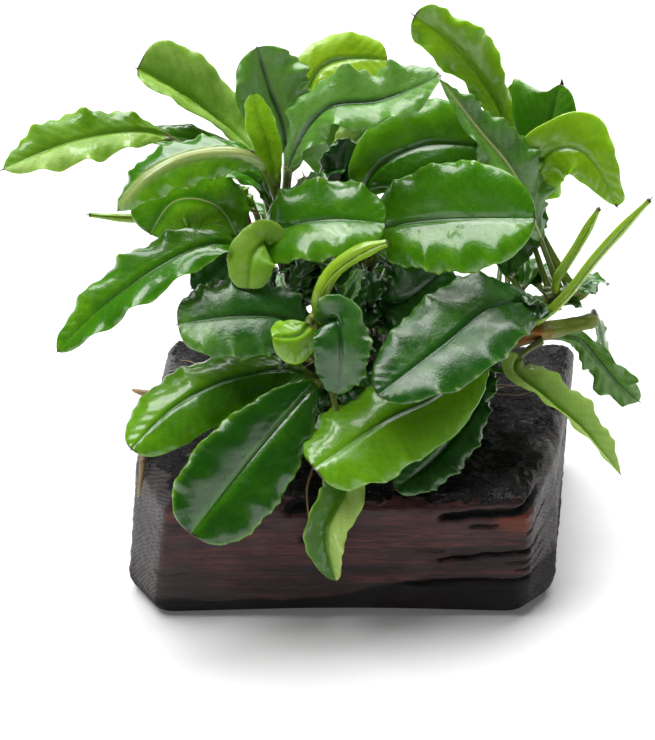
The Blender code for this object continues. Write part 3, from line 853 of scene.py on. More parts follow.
@dataclass(frozen=True)
class Root:
    """One clasping root: the points that it passes through, its radius at its start and how pale it is."""

    route: tuple
    radius: float
    pale: float = 0.0

    def skin(self) -> Skin:
        """A thin tube that narrows to its tip and wavers a little."""
        rough = smooth_path(self.route, PATH_SAMPLES)
        length = float(np.linalg.norm(np.diff(rough, axis=0), axis=1).sum())
        shares = np.linspace(0, 1, max(ROOT_RINGS, int(length * ROOT_RINGS_PER_MM)))
        spine = along(rough, shares)
        seed = np.array([sum(self.route[0]), 0.0, 0.0])
        waver = [BROAD_GRAIN(spine / 6.0 + seed + axis * 9.1) for axis in range(3)]
        spine = spine + np.stack(waver, -1) * 1.3 * ease(shares, 0, 0.2)[:, None]
        angle = np.linspace(0, 2 * math.pi, ROOT_SIDES, endpoint=False)
        run = shares[:, None] + 0 * angle[None, :]
        knots = FINE_GRAIN(np.stack((run * length / 1.7, run * 0 + seed[0], run * 0), -1)) * 0.25
        radius = self.radius * (1 - 0.65 * run) * (1 + knots) * np.sqrt(np.clip(1 - run**14, 0.02, 1))
        tuft = np.maximum(ease(run, 0.8, 1.0), self.pale)
        patterns = {"scar": 0.3 * ease(knots, 0, 0.15), "age": 1 - run, "tuft": tuft, "sheath": 0 * run}
        return tube(spine, radius, angle, patterns)


ROOT_SIDES = 10
ROOT_RINGS = 12
ROOT_RINGS_PER_MM = 1.6


class Face(Enum):
    """The four upright faces of the block, by the way that each looks."""

    FRONT = (0.0, -1.0)
    BACK = (0.0, 1.0)
    LEFT = (-1.0, 0.0)
    RIGHT = (1.0, 0.0)


@dataclass(frozen=True)
class Crack:
    """A split along the grain: its two ends as (distance along the face, height), half width and depth."""

    face: Face
    start: tuple[float, float]
    end: tuple[float, float]
    width: float
    depth: float


CRACKS = (
    Crack(Face.FRONT, (18, 16.7), (46, 20.0), 0.42, 1.6),
    Crack(Face.FRONT, (19, 28.6), (45, 31.6), 0.95, 2.4),
    Crack(Face.FRONT, (27, 26.2), (35, 27.0), 0.4, 1.2),
    Crack(Face.FRONT, (14, 19.6), (23, 19.5), 0.22, 0.7),
    Crack(Face.FRONT, (9, 10.2), (46, 11.8), 0.34, 1.0),
    Crack(Face.FRONT, (35, 16.2), (46, 16.5), 0.25, 0.8),
    Crack(Face.FRONT, (37, 14.1), (46, 14.4), 0.25, 0.8),
    Crack(Face.FRONT, (40, 24.3), (46, 25.9), 0.25, 0.9),
    Crack(Face.FRONT, (-53, 12.8), (-36, 13.4), 0.2, 0.5),
    Crack(Face.FRONT, (-12, 22.6), (-7, 23.2), 0.8, 1.4),
    Crack(Face.FRONT, (-16, 31.0), (-3, 32.0), 1.5, 2.6),
    Crack(Face.BACK, (-40, 21.0), (12, 23.0), 0.45, 1.6),
    Crack(Face.BACK, (-8, 12.0), (50, 10.2), 0.4, 1.3),
    Crack(Face.BACK, (-42, 28.6), (-12, 29.8), 0.7, 1.9),
    Crack(Face.BACK, (22, 27.0), (54, 28.6), 0.5, 1.6),
    Crack(Face.LEFT, (-20, 16.0), (18, 19.0), 0.3, 0.9),
    Crack(Face.RIGHT, (-18, 24.0), (26, 21.0), 0.35, 1.1),
    Crack(Face.RIGHT, (-6, 9.0), (28, 11.0), 0.25, 0.8),
)


@dataclass(frozen=True)
class WoodFinish:
    """Wet, dark driftwood: streaked along the grain, grey on the sawn corners, black and gritty on top.

    The corners' grey is partly a painted sheen, and the top's pale specks are partly painted glints.
    """

    title: str = "wet_driftwood"
    heart: Colour = (0.034, 0.0155, 0.0165)
    streak: Colour = (0.12, 0.04, 0.036)
    dark: Colour = (0.008, 0.006, 0.0065)
    black: Colour = (0.0018, 0.0016, 0.0018)
    slate: Colour = (0.022, 0.021, 0.0215)
    ash_and_sheen: Colour = (0.072, 0.063, 0.062)
    rust: Colour = (0.15, 0.032, 0.014)
    grit_and_glint: Colour = (0.2, 0.2, 0.19)
    pith: tuple[float, float] = (-52.0, -10.0)
    roughness: float = 0.44

    def material(self) -> bpy.types.Material:
        """Mixes the grain's colours by the block's own patterns.

        Streaks are drawn out along X. On the sawn corners the growth rings show as thin lines: the sine of
        the distance to the pith, which runs along X in front of the block and a little below it.
        """
        g = Graph(self.title)
        crack, crown, corner = g.pattern("crack"), g.pattern("crown"), g.pattern("corner")
        rust, band, grey = g.pattern("rust"), g.pattern("band"), g.pattern("grey")
        streak = g.cloud(1.3, 5.0, g.stretched((0.05, 1.0, 1.0)))
        hair = g.cloud(0.3, 3.0, g.stretched((0.07, 1.0, 1.0)))
        flow = g.cloud(4.5, 4.0, g.stretched((0.12, 1.0, 1.0)))
        patch, pore = g.cloud(9.0, 3.0), g.cloud(0.5, 4.0)
        away, height = g.axis("Y") - self.pith[0], g.axis("Z") - self.pith[1]
        ring = (away * away + height * height) ** 0.5 + g.cloud(12.0, 2.0) * 4.0 + pore * 0.4
        line = ((ring * 7.0).wave() * 0.5 + 0.5) * g.cloud(2.5, 2.0) * 1.6
        grain = streak * 0.5 + hair * 0.5
        colour = g.mix(grain.climb(0.42, 0.66), self.heart, self.streak)
        colour = g.mix((flow * 0.6 + hair * 0.4).climb(0.47, 0.58) * 0.85, colour, self.dark)
        colour = g.mix((grey + (streak - 0.5) * 1.2).climb(0.35, 0.95) * 0.8, colour, self.slate)
        colour = g.mix((rust * (0.35 + flow * 1.2 + (hair - 0.5))).climb(0.4, 1.1) * 0.75, colour, self.rust)
        colour = g.mix((band + (streak - 0.5) * 0.7).climb(0.35, 0.65) * 0.93, colour, self.black)
        # The grey of the sawn corners is partly the weathered end grain and partly a painted sheen of the
        # lamps on the wet chamfers.
        worn = g.mix((line * 0.6 + pore * 0.6).climb(0.3, 1.1), self.ash_and_sheen, self.slate)
        colour = g.mix((corner + (hair - 0.5) * 0.7).climb(0.3, 0.75) * (1.0 - band * 0.6), colour, worn)
        colour = g.mix((crown + (pore - 0.5) * 0.6).climb(0.35, 0.6), colour, self.black)
        # Pale specks on the black top: partly grit, partly painted glints of the lamps on the wet top.
        grit_and_glint_specks = (g.cloud(0.42, 1.0) + (patch - 0.5) * 0.25).climb(0.69, 0.74)
        colour = g.mix((crown * grit_and_glint_specks).clear() * 0.7, colour, self.grit_and_glint)
        colour = g.mix(crack.climb(0.2, 0.7), colour, self.black)
        wall = grain * 0.8 + line * corner * 0.5
        relief = wall * 1.5 + crown * (pore * 2.5 + g.cells(0.9))
        return g.dress(
            Base_Color=colour,
            Roughness=(self.roughness + (streak - 0.5) * 0.4 + (crack + band) * 0.3 - crown * 0.16).clear(),
            Specular_IOR_Level=0.2,
            Coat_Weight=(patch.climb(0.5, 0.65) * 0.12).clear(),
            Coat_Roughness=0.15,
            Normal=g.bump(relief, 0.22),
        )


GROWTH_LAYER = 2.6
RUST_PLACE = (38.0, 27.5)
RUST_REACH = (8.0, 3.6)


@dataclass(frozen=True)
class DriftwoodBlock:
    """The sawn block: its outlines at the foot and at the top, and how finely its surface is worked."""

    foot: tuple = ((-46, -34), (41, -34), (49, -27), (56, 30), (-46, 34), (-53, -24))
    top: tuple = ((-41, -34), (41, -34), (49, -10), (58, 34), (-45, 36), (-50, -15))
    top_height: float = 34.0
    wall_height: float = 30.2
    shoulder_rise: float = 4.3
    shoulder_inset: float = 7.0
    crown_rise: float = 0.8
    foot_inset: float = 4.2
    around: int = 590
    corner_round: float = 1.1
    finish: WoodFinish = field(default_factory=WoodFinish)

    def outline(self, corners: tuple) -> np.ndarray:
        """Walks once round an outline in even steps along each edge and rounds it by a periodic blur.

        Args:
            corners: the outline's corners (x, y), front left first and then to the right.

        Returns:
            An array (around, 2) of points.
        """
        edges = np.roll(np.array(self.foot, float), -1, axis=0) - np.array(self.foot, float)
        lengths = np.linalg.norm(edges, axis=1)
        marks = np.concatenate(([0.0], np.cumsum(lengths))) / lengths.sum()
        share = np.arange(self.around) / self.around
        looped = np.array((*corners, corners[0]), float)
        points = np.stack([np.interp(share, marks, looped[:, axis]) for axis in range(2)], -1)
        waves = np.fft.rfftfreq(self.around, d=lengths.sum() / self.around)
        blur = np.exp(-2 * (math.pi * self.corner_round * waves) ** 2)[:, None]
        return np.fft.irfft(np.fft.rfft(points, axis=0) * blur, self.around, axis=0)

    def profile(self) -> np.ndarray:
        """Returns rows (height, inset, scale) from the middle of the underside to the middle of the top."""
        foot, wall, inset = self.foot_inset, self.wall_height, self.shoulder_inset
        under = [(0.0, foot, share) for share in (0.02, 0.3, 0.6, 0.85)]
        heights = (0.0, 0.5, 1.4, 2.4, 3.6, 5.0)
        insets = (foot, 3.3, 2.1, 1.2, 0.5, 0.1)
        bevel = [(height, inward, 1.0) for height, inward in zip(heights, insets)]
        upright = [(height, 0.0, 1.0) for height in np.linspace(5.4, wall, 66)]
        edge = np.linspace(0, 1, 18)[1:]
        rise = self.shoulder_rise
        shoulder = [(wall + rise * math.sin(s * math.pi / 2), inset * s**2.2, 1.0) for s in edge]
        shares = np.linspace(0, 0.985, 50)[1:]
        crown = [(wall + rise + self.crown_rise * s, inset, 1.0 - s) for s in shares]
        return np.array(under + bevel + upright + shoulder + crown)

    def splits(self, points: Points, outward: Points) -> tuple[np.ndarray, np.ndarray]:
        """Cuts the cracks: each is a bell across a wavering line, faded at its two ends.

        Args:
            points: the surface's points.
            outward: the way that the surface looks at each, level.

        Returns:
            The depth of the cut and the cracks' pattern from 0 to 1 at each point.
        """
        depth = np.zeros(points.shape[:-1])
        for number, crack in enumerate(CRACKS):
            looks = np.array(crack.face.value)
            run = points[..., 0] if crack.face in (Face.FRONT, Face.BACK) else points[..., 1]
            share = (run - crack.start[0]) / (crack.end[0] - crack.start[0])
            waver = BROAD_GRAIN(np.stack((run / 5.0, run * 0 + number * 3.3, run * 0), -1)) * 1.1
            ragged = FINE_GRAIN(np.stack((run / 1.3, run * 0 + number * 5.1, run * 0), -1))
            line = crack.start[1] + (crack.end[1] - crack.start[1]) * share + waver + ragged * 0.3
            width = crack.width * (0.75 + 0.8 * np.abs(ragged))
            faded = ease(share, -0.02, 0.2) * (1 - ease(share, 0.86, 1.02))
            facing = ease(outward @ looks, 0.5, 0.8)
            cut = crack.depth * faded * facing * ridge(points[..., 2] - line, width + 0.12)
            depth = np.maximum(depth, cut)
        return depth, ease(depth, 0.25, 1.1)

    def skin(self) -> Skin:
        """Works out the block's surface.

        Rows of the outline, blended from foot to top and moved in by each row's inset, are worn along the
        growth layers, which are circles round the pith in front of the block, cut by the cracks and left
        rough on top.

        Returns:
            The closed skin with its patterns.
        """
        rows = self.profile()
        foot, top = self.outline(self.foot), self.outline(self.top)
        height = rows[:, 0][:, None]
        share = np.clip(height / self.top_height, 0, 1)[..., None]
        flat = foot[None] + (top - foot)[None] * share
        reach = np.linalg.norm(flat, axis=-1)
        outward = flat / reach[..., None]
        edge = np.roll(foot, -1, axis=0) - np.roll(foot, 1, axis=0)
        looks = unit(np.stack((edge[:, 1], -edge[:, 0]), -1))[None] + 0 * flat
        scaled = (reach - rows[:, 1][:, None]) * rows[:, 2][:, None]
        points = np.concatenate((outward * scaled[..., None], height[..., None] + 0 * flat[..., :1]), -1)

        on_wall = ease(height, 1.0, 6.0) * rows[:, 2][:, None]
        ragged = BROAD_GRAIN(points / 7.0) * 2.6 + FINE_GRAIN(points / 1.6) * 2.4
        crown = ease(height + ragged, 32.6, 33.8)
        waver = BROAD_GRAIN(points * (0.02, 0.08, 0.08)) * 4.0 + FINE_GRAIN(points * (0.06, 0.3, 0.3)) * 0.7
        pith = self.finish.pith
        ring = np.hypot(points[..., 1] - pith[0], points[..., 2] - pith[1]) + waver
        layer = (ring / GROWTH_LAYER) % 1.0
        worn = 0.16 * layer**1.5 * (1 - ease(layer, 0.8, 1.0))
        drawn = points * (0.05, 0.6, 0.6)
        worn = worn + BROAD_GRAIN(drawn) * 0.3 + FINE_GRAIN(drawn * 2.6) * 0.16
        worn = worn + BROAD_GRAIN(points / 14.0) * 0.9
        cut, crack = self.splits(points, looks)
        side = (worn - 0.25) * on_wall - cut
        rough = BROAD_GRAIN(points / 6.0) * 1.5 + BROAD_GRAIN(points / 2.3 + 7) * 0.9
        rough = rough + np.abs(FINE_GRAIN(points / 1.1)) * 0.9 - 0.4
        shoulder = ease(height, 30.0, 33.0)
        side = side + (rough * 0.8 - 0.5) * shoulder * rows[:, 2][:, None]
        points[..., :2] += outward * side[..., None]
        points[..., 2] += rough * ease(height, 31.0, 34.4)[..., 0:1] * crown
        points[..., 2] = np.maximum(points[..., 2], 0.0)

        chamfer = np.maximum(ease(looks[..., 0], 0.45, 0.7), ease(-looks[..., 0], 0.45, 0.7))
        front = ease(-looks[..., 1], 0.7, 0.95)
        away = (points[..., ::2] - np.array(RUST_PLACE)) / np.array(RUST_REACH)
        rust_place = np.hypot(away[..., 0], away[..., 1])
        across = points[..., 0] + BROAD_GRAIN(points / 11.0) * 14
        band_top = 5.6 + 6.4 * ease(across, -18.0, 22.0)
        patterns = {
            "crack": crack,
            "crown": crown,
            "corner": chamfer * (1 - crown),
            "rust": front * (1 - ease(rust_place, 0.4, 1.2)),
            "grey": 0.8 * front * (1 - ease(across + points[..., 2], -30.0, -4.0)),
            "band": 1 - ease(points[..., 2] + BROAD_GRAIN(points / 12.0) * 1.5 - band_top, -1.6, 1.2),
        }
        return Skin.from_rings(points, patterns)

    def build(self) -> bpy.types.Object:
        """Makes the block in place of its plain solid."""
        piece = self.skin().build("driftwood_grain", self.finish.material(), "wood")
        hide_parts("driftwood_block")
        return piece


BACK_LEFT_LEAVES = (
    Leaf("leaf_left_shaded", 0.88, ((-23, 22, 89), (-33, 23, 95), (-47, 23, 97)), (0.3, -0.1, 0.9), 10,
         LeafKind.GLOSSY, stalk=0.35, fold=10, taper=0.4, wave=0.5, waves=3, ruffle=0.1, left=0.3,
         right=0.3),
    Leaf("leaf_left_tall", 1, ((-21, 25, 90), (-29, 30, 96), (-38, 31, 103), (-49, 31, 110)),
         (0.5, -0.4, 0.8), 21.5, LeafKind.PALE, stalk=0.25, fold=38, rise=0.7, taper=0.24, wave=0.5,
         waves=3, left=0.45, right=0.5, aged=0.9, drip=0.9),
    Leaf("leaf_left_slim", 0.9, ((-18, 11, 98), (-20, 4, 110), (-21, -1, 119)), (0.2, -0.9, -0.5), 7,
         LeafKind.BRIGHT, stalk=0.22, wave=0.5, waves=3, ruffle=0.1, left=0.3, right=0.3),
    # Its lighter halves are partly a painted grey-green sheen.
    Leaf("leaf_top_left_dark", 1, ((-15, 21, 99), (-18, 23, 108), (-21, 25, 118)), (0.5, -0.8, 0.3), 19,
         LeafKind.DARK, fold=18, wave=1.3, waves=3, roll=-8, left=1.6, right=2.2),
    Leaf("leaf_top_left_bright", 1, ((-11, 28, 100), (-6, 34, 109), (9, 40, 108)), (0.1, -0.7, 0.7), 13,
         LeafKind.BRIGHT, stalk=0.35, fold=5, rise=0.6, taper=0.3, wave=0.5, waves=3, left=0.8, right=0.8),
    Leaf("leaf_top_arching", 0.97, ((-13, 12, 97), (-5, 12, 109), (7, 12, 111), (20, 12, 117)),
         (-0.3, -0.5, 0.8), 16, LeafKind.DARK, stalk=0.22, fold=18, wave=1.6, waves=4, left=1.1, right=0.9,
         tip=0.4),
    Leaf("leaf_left_pale_rib", 0.7, ((-22, 3, 101), (-34, -1, 104), (-44, -5, 101), (-51, -8, 94)),
         (-0.4, -0.3, 0.9), 12.5, LeafKind.GLOSSY, stalk=0.42, fold=-18, rise=0.9, taper=0.7, roll=-22,
         left=0.5, right=-0.2, cord=1.35, aged=0.5),
    Leaf("leaf_left_under", 0.8, ((-20, 13, 89), (-26, 13, 93), (-34, 12, 93), (-44, 10, 90)),
         (-0.1, -0.3, 0.9), 9, LeafKind.GLOSSY, stalk=0.25, fold=20, taper=0.6, tip=0.2),
    Leaf("leaf_rear_inner", 0.35, ((-16, 22, 52), (-24, 31, 52), (-33, 38, 43)), (-0.5, 0.5, 0.9), 17,
         LeafKind.GLOSSY, stalk=0.25, waves=4),
)
LEFT_LEAVES = (
    # Its lighter left half is partly a painted whitish sheen.
    Leaf("leaf_far_left", 1, ((-26, 17, 85), (-35, 17, 95), (-45, 14, 102), (-60, 9, 103), (-77, 2, 99)),
         (0.1, -0.5, 0.9), 14, LeafKind.PALE, stalk=0.42, fold=12, rise=1, taper=0.75, wave=1.5, waves=4,
         left=0.4, right=-0.4, tip=0.3, aged=1.0, drip=1.3),
    Leaf("leaf_left_rolled", 0.5, ((-31, 12, 79), (-42, 14, 80), (-51, 14, 80), (-60, 12, 82)),
         (0.2, -0.8, 0.5), 0, LeafKind.ROLLED, stalk=0.35, fold=0, wave=0, girth=1.1, aged=0.0, drip=1.0,
         section=Section.SCROLLED),
    Leaf("leaf_left_broad", 0.78, ((-30, 5, 88), (-39, 4, 90), (-45, 1, 83)), (0, -0.8, 0.6), 19,
         LeafKind.GLOSSY, stalk=0.25, fold=-8, taper=0.38, left=0.9, right=0.4, cord=0.15, aged=0.4),
    Leaf("leaf_left_small", 1, ((-22, 11, 84), (-25, 12, 86), (-27, 13, 89)), (0.5, -0.4, 0.7), 7,
         LeafKind.BRIGHT, stalk=0.4, waves=3, drip=0.3),
    Leaf("leaf_left_drooping", 0.6,
         ((-25, -3, 82), (-33, -8, 85), (-41, -12, 83), (-55, -16, 74), (-65, -20, 65)), (-0.5, -0.4, 0.8),
         13.5, LeafKind.GLOSSY, stalk=0.2, fold=12, taper=0.6, wave=1.4, ruffle=0.2, roll=-12, left=-0.1,
         right=0.2, tip=0.3),
    Leaf("leaf_left_inner_dark", 0.55, ((-27, 4, 75), (-31, 2, 73), (-36, -1, 70)), (0.4, -0.9, 0.1), 11,
         LeafKind.DARK, fold=10),
    Leaf("leaf_left_hanging", 0.8, ((-19, -4.5, 84), (-21.5, -9.5, 83.5), (-22.5, -13, 77)), (0, -1, 0.3),
         11, LeafKind.PALE, fold=5, rise=0.5, taper=0.3, wave=0.5, waves=3, left=0.1, right=0.3),
    Leaf("leaf_centre_left", 0.97, ((-16, 0, 85), (-4, -3, 89), (8, -5, 89)), (-0.2, -0.6, 0.8), 20,
         LeafKind.GLOSSY, stalk=0.1, fold=8, rise=0.55, taper=0.42, waves=4, ruffle=0.15, left=0.15,
         right=0.35, lobes=(Lobe(1, 0.08, 3.0, -9.0, 0.13),)),
)
CENTRE_LEAVES = (
    Leaf("leaf_centre_glossy", 1, ((6, 4, 83), (20, -1, 88), (41, -6, 91)), (-0.3, -0.7, 0.6), 26,
         LeafKind.GLOSSY, stalk=0.12, fold=12, rise=0.65, taper=0.48, wave=1.15, ruffle=0.2, left=0.15,
         right=0.35),
    Leaf("leaf_centre_upper", 1, ((5, 16, 90), (16, 17, 97), (32, 16, 97)), (-0.2, -0.7, 0.7), 21,
         LeafKind.GLOSSY, stalk=0.15, fold=6, rise=0.7, wave=0.7, waves=3, ruffle=0.1, roll=8, left=0.4),
    Leaf("leaf_back_pale", 0.88, ((1, 26, 88), (1, 30, 91), (7, 34, 94)), (0.3, -0.7, 0.6), 11,
         LeafKind.PALE, stalk=0.35, waves=4, left=0.8, right=0.8),
    Leaf("leaf_back_dark", 0.7, ((-2, 20, 86), (0, 23, 96)), (-0.1, -1, 0.3), 11, LeafKind.DARK, waves=4,
         left=-0.5, right=-0.5),
    Leaf("leaf_inner_shaded", 0.6, ((12, 0, 66), (23, 4, 73)), (0, -0.8, 0.5), 16, LeafKind.DARK, stalk=0.2,
         waves=4),
)
RIGHT_LEAVES = (
    Leaf("leaf_front_crinkled", 0.8, ((32, -8, 69), (21, -20, 67), (6, -33, 62)), (0.4, -0.6, 0.7), 23,
         LeafKind.DARK, stalk=0.08, fold=4, rise=0.48, wave=1.0, waves=4, ruffle=0.35, roll=24, left=0.1,
         right=0.2),
    # Its lighter halves are a painted grey-green sheen.
    Leaf("leaf_right_dark_sheen", 0.9, ((42, 14, 81), (37, 15, 92), (29, 16, 102), (20, 17, 114)),
         (0.6, -0.6, 0.5), 14.5, LeafKind.DARK, stalk=0.2, fold=25, rise=0.6, taper=0.95, wave=1.9,
         ruffle=0.5, left=0.8, right=0.6, cord=0.4, aged=0.1, lobes=(Lobe(1, 0.3, 1.8, span=0.06),
          Lobe(1, 0.47, 1.5, span=0.05), Lobe(-1, 0.6, 1.2, span=0.06))),
    Leaf("leaf_top_right", 0.62,
         ((38, 25, 67), (39, 31, 85), (36, 34, 97), (29, 36, 108), (23, 36, 115), (15, 36, 121)),
         (0.3, -0.9, 0.4), 13, LeafKind.BRIGHT, stalk=0.45, rise=1.1, taper=0.38, wave=1.4, waves=4,
         ruffle=0.2, left=0.15, right=0.25, aged=0.1, drip=1.8, lobes=(Lobe(1, 0.62, 1.8, span=0.1),
          Lobe(1, 0.8, -1.4, span=0.05), Lobe(-1, 0.55, -1.5, span=0.08))),
    Leaf("leaf_right_upper", 0.85, ((42, 25, 80), (46, 27, 94), (49, 31, 106)), (-0.3, -0.9, 0.3), 15,
         LeafKind.GLOSSY, stalk=0.35, fold=12, taper=0.45, wave=1.2, waves=2, ruffle=0.15, roll=-12,
         tip=0.2, aged=0.1, drip=1.6, lobes=(Lobe(-1, 0.74, 4.5, 6.5, 0.13),
          Lobe(-1, 0.97, -1.5, -2.0, 0.05), Lobe(1, 0.6, 1.5, 1.0, 0.15))),
    Leaf("leaf_right_upper_small", 0.5, ((38, 31, 66), (40, 37, 79), (39, 42, 101)), (0, -1, 0.3), 6,
         LeafKind.BRIGHT, stalk=0.5, fold=12, waves=3, aged=0.1),
    Leaf("leaf_right_yellow", 0.95, ((42, 19, 81), (43, 20, 88.5), (46.5, 19.5, 94.5), (52.5, 18, 95.8),
          (57.5, 16, 91.5), (61.5, 14, 83.5)), (0.1, -0.9, 0.4), 13, LeafKind.BRIGHT, stalk=0.36, fold=5,
         rise=0.55, taper=0.7, wave=0.9, waves=3, ruffle=0.2, left=0.2, right=0.2, tip=0.2, aged=0.1,
         lobes=(Lobe(-1, 0.55, 2.6, 1.0, 0.09), Lobe(1, 0.15, 3.0, -2.5, 0.12),
          Lobe(-1, 0.95, 0.8, 1.5, 0.05))),
    Leaf("leaf_right_rolled_short", 0.88, ((48, 5, 68.5), (52, 4, 78), (56, 2, 89)), (-0.3, -1, 0), 0,
         LeafKind.ROLLED, stalk=0.16, fold=0, wave=0, girth=1.15, aged=0.6, drip=0.8,
         section=Section.SCROLLED),
    Leaf("leaf_right_rolled_long", 0.7, ((43, -1, 61), (49, -2, 68), (56, -3, 80), (66, -5, 95)),
         (-0.3, -0.9, 0.1), 0, LeafKind.ROLLED, stalk=0.16, fold=0, wave=0, girth=1.2, aged=0.6, drip=1.8,
         section=Section.SCROLLED),
    # Its much lighter halves are a painted whitish sheen.
    Leaf("leaf_right_low_dark", 0.4,
         ((46, 4, 53.5), (53.5, 4, 53.6), (59, 3, 48), (64, 2, 42), (69, 0.5, 38)), (-0.4, -0.9, 0), 9,
         LeafKind.DARK, fold=14, rise=1.0, wave=0.9, waves=4, left=2.0, right=2.0, drip=1.0,
         lobes=(Lobe(-1, 0.8, 1.6, 1.0, 0.05), Lobe(1, 0.72, 1.8, 0.5, 0.06),
          Lobe(1, 0.9, 1.2, 1.0, 0.04))),
    Leaf("leaf_right_inner", 0.72, ((38, 15, 66), (40, 19, 73), (43, 21, 83)), (0.1, -0.9, 0.3), 12,
         LeafKind.DARK, stalk=0.2, fold=20, waves=4, left=0.3, right=0.3, aged=0.2),
    Leaf("leaf_front_right_under", 0.45, ((28, -16, 46), (20, -26, 41), (10, -36, 39)), (0.3, -0.6, 0.7),
         12, LeafKind.DARK, stalk=0.2, fold=10),
    # Its lighter halves and tip are partly a painted sheen.
    Leaf("leaf_front_right_broad", 0.58, ((20, -19, 53), (8, -28, 52), (-8, -39, 46.5)), (0.4, -0.7, 0.7),
         23, LeafKind.GLOSSY, stalk=0.14, fold=-12, rise=0.75, taper=0.36, wave=1.2, roll=28, left=0.9,
         right=0.9, tip=1.0),
)
RIGHT_LOW_LEAVES = (
    Leaf("leaf_right_low_slim", 1, ((58, 10, 57), (60, 11, 49), (62, 10, 40)), (0.9, -0.4, 0.2), 7.5,
         LeafKind.GLOSSY, stalk=0.15, wave=0.7, waves=3, left=0.3),
    Leaf("leaf_right_hanging", 0.3, ((38, -8, 53), (45, -11, 47), (53, -14, 41), (63, -18, 30)),
         (0.5, -0.4, 0.7), 12.5, LeafKind.PALE, stalk=0.15, fold=45, rise=0.5, taper=0.7, wave=0.8, waves=4,
         left=0.7, right=0.7, tip=0.2),
)
FRONT_LEAVES = (
    Leaf("leaf_front_left_dark", 0.75, ((-14, -15, 70), (-24, -18, 73), (-38, -20, 72)), (0.2, -0.7, 0.7),
         20, LeafKind.DARK, stalk=0.06, fold=0, rise=0.5, taper=0.38, roll=14, left=0.2, tip=0.5),
    # Its lighter right half, the upper one, is partly a painted whitish sheen.
    Leaf("leaf_front_left_broad", 0.42,
         ((-13, -15, 57), (-26, -20, 58), (-38, -26, 55), (-48.5, -33, 47.5)), (0.2, -0.7, 0.6), 17,
         LeafKind.GLOSSY, stalk=0.06, fold=-13, rise=0.85, taper=0.45, wave=0.7, roll=22, left=0.25,
         right=0.8, tip=0.3),
    Leaf("leaf_front_long", 0.5, ((-8, -22, 57), (-22, -36, 47), (-35, -46, 34)), (0.1, -0.8, 0.7), 22.5,
         LeafKind.GLOSSY, stalk=0.12, fold=8, taper=0.38, wave=0.9, roll=-13, left=-0.8, right=-0.9),
    Leaf("leaf_front_folded", 0.78, ((-1, -30, 44), (-1, -35, 38), (-5, -39, 30), (-3, -40, 16)),
         (-0.2, -0.9, 0.2), 13, LeafKind.PALE, stalk=0.35, fold=40, rise=0.6, taper=0.7, wave=0.9, waves=3,
         left=1.0, right=-1.8),
    Leaf("leaf_front_small", 0.97, ((-3, -26, 77), (-2, -30, 73), (-3, -31, 61)), (0, -1, 0.3), 12.5,
         LeafKind.DARK, stalk=0.08, fold=8, rise=0.5, waves=4, left=0.2),
    Leaf("leaf_front_cupped", 1, ((-11, -26, 73), (-17, -30, 75)), (0.5, -0.4, 0.7), 12, LeafKind.BRIGHT,
         stalk=0.1, fold=-28, rise=0.5, taper=0.6, wave=0.1, waves=2, left=-0.2, right=-0.2),
    Leaf("leaf_front_rolled_new", 1, ((-7, -20, 78), (-4, -18, 84), (1, -17, 88), (8, -17, 91)),
         (-0.2, -0.9, 0.4), 0, LeafKind.ROLLED, stalk=0.2, fold=0, wave=0, girth=1.75, aged=0.0, drip=0.3,
         section=Section.SCROLLED),
    Leaf("leaf_front_twisted", 0.9, ((-2, -19, 76), (0, -17, 80), (2, -16, 84)), (0.5, -0.9, 0.1), 5,
         LeafKind.GLOSSY, stalk=0.2, fold=20, wave=0.5, waves=3),
)
REAR_LEAVES = (
    Leaf("leaf_rear_centre_right", 1, ((14, 52, 68), (24, 60, 74), (34, 64, 69)), (0.3, 0.6, 0.8), 20,
         LeafKind.GLOSSY, stalk=0.25, waves=4),
    Leaf("leaf_rear_centre_left", 1, ((2, 50, 70), (-6, 53, 82), (-9, 54, 95)), (-0.1, 1, 0.3), 19,
         LeafKind.GLOSSY, stalk=0.25, waves=4),
    Leaf("leaf_rear_left", 0.8, ((-8, 46, 49), (-20, 52, 48), (-32, 58, 40)), (-0.4, 0.5, 0.9), 19,
         LeafKind.GLOSSY, waves=4),
    Leaf("leaf_rear_right", 0.8, ((20, 46, 56), (30, 52, 59), (39, 56, 52)), (0.4, 0.5, 0.9), 18,
         LeafKind.GLOSSY, waves=4),
    Leaf("leaf_rear_low_centre", 0.7, ((8, 54, 50), (8, 62, 40), (7, 66, 22)), (0, 1, 0.5), 20,
         LeafKind.GLOSSY, stalk=0.25, waves=4),
    Leaf("leaf_rear_low_left", 0.5, ((-8, 44, 44), (-16, 54, 38), (-20, 62, 20)), (-0.3, 1, 0.5), 17,
         LeafKind.GLOSSY, stalk=0.25, waves=4),
    Leaf("leaf_rear_low_right", 0.5, ((18, 44, 44), (27, 54, 37), (31, 62, 19)), (0.3, 1, 0.5), 18,
         LeafKind.GLOSSY, stalk=0.25, waves=4),
)

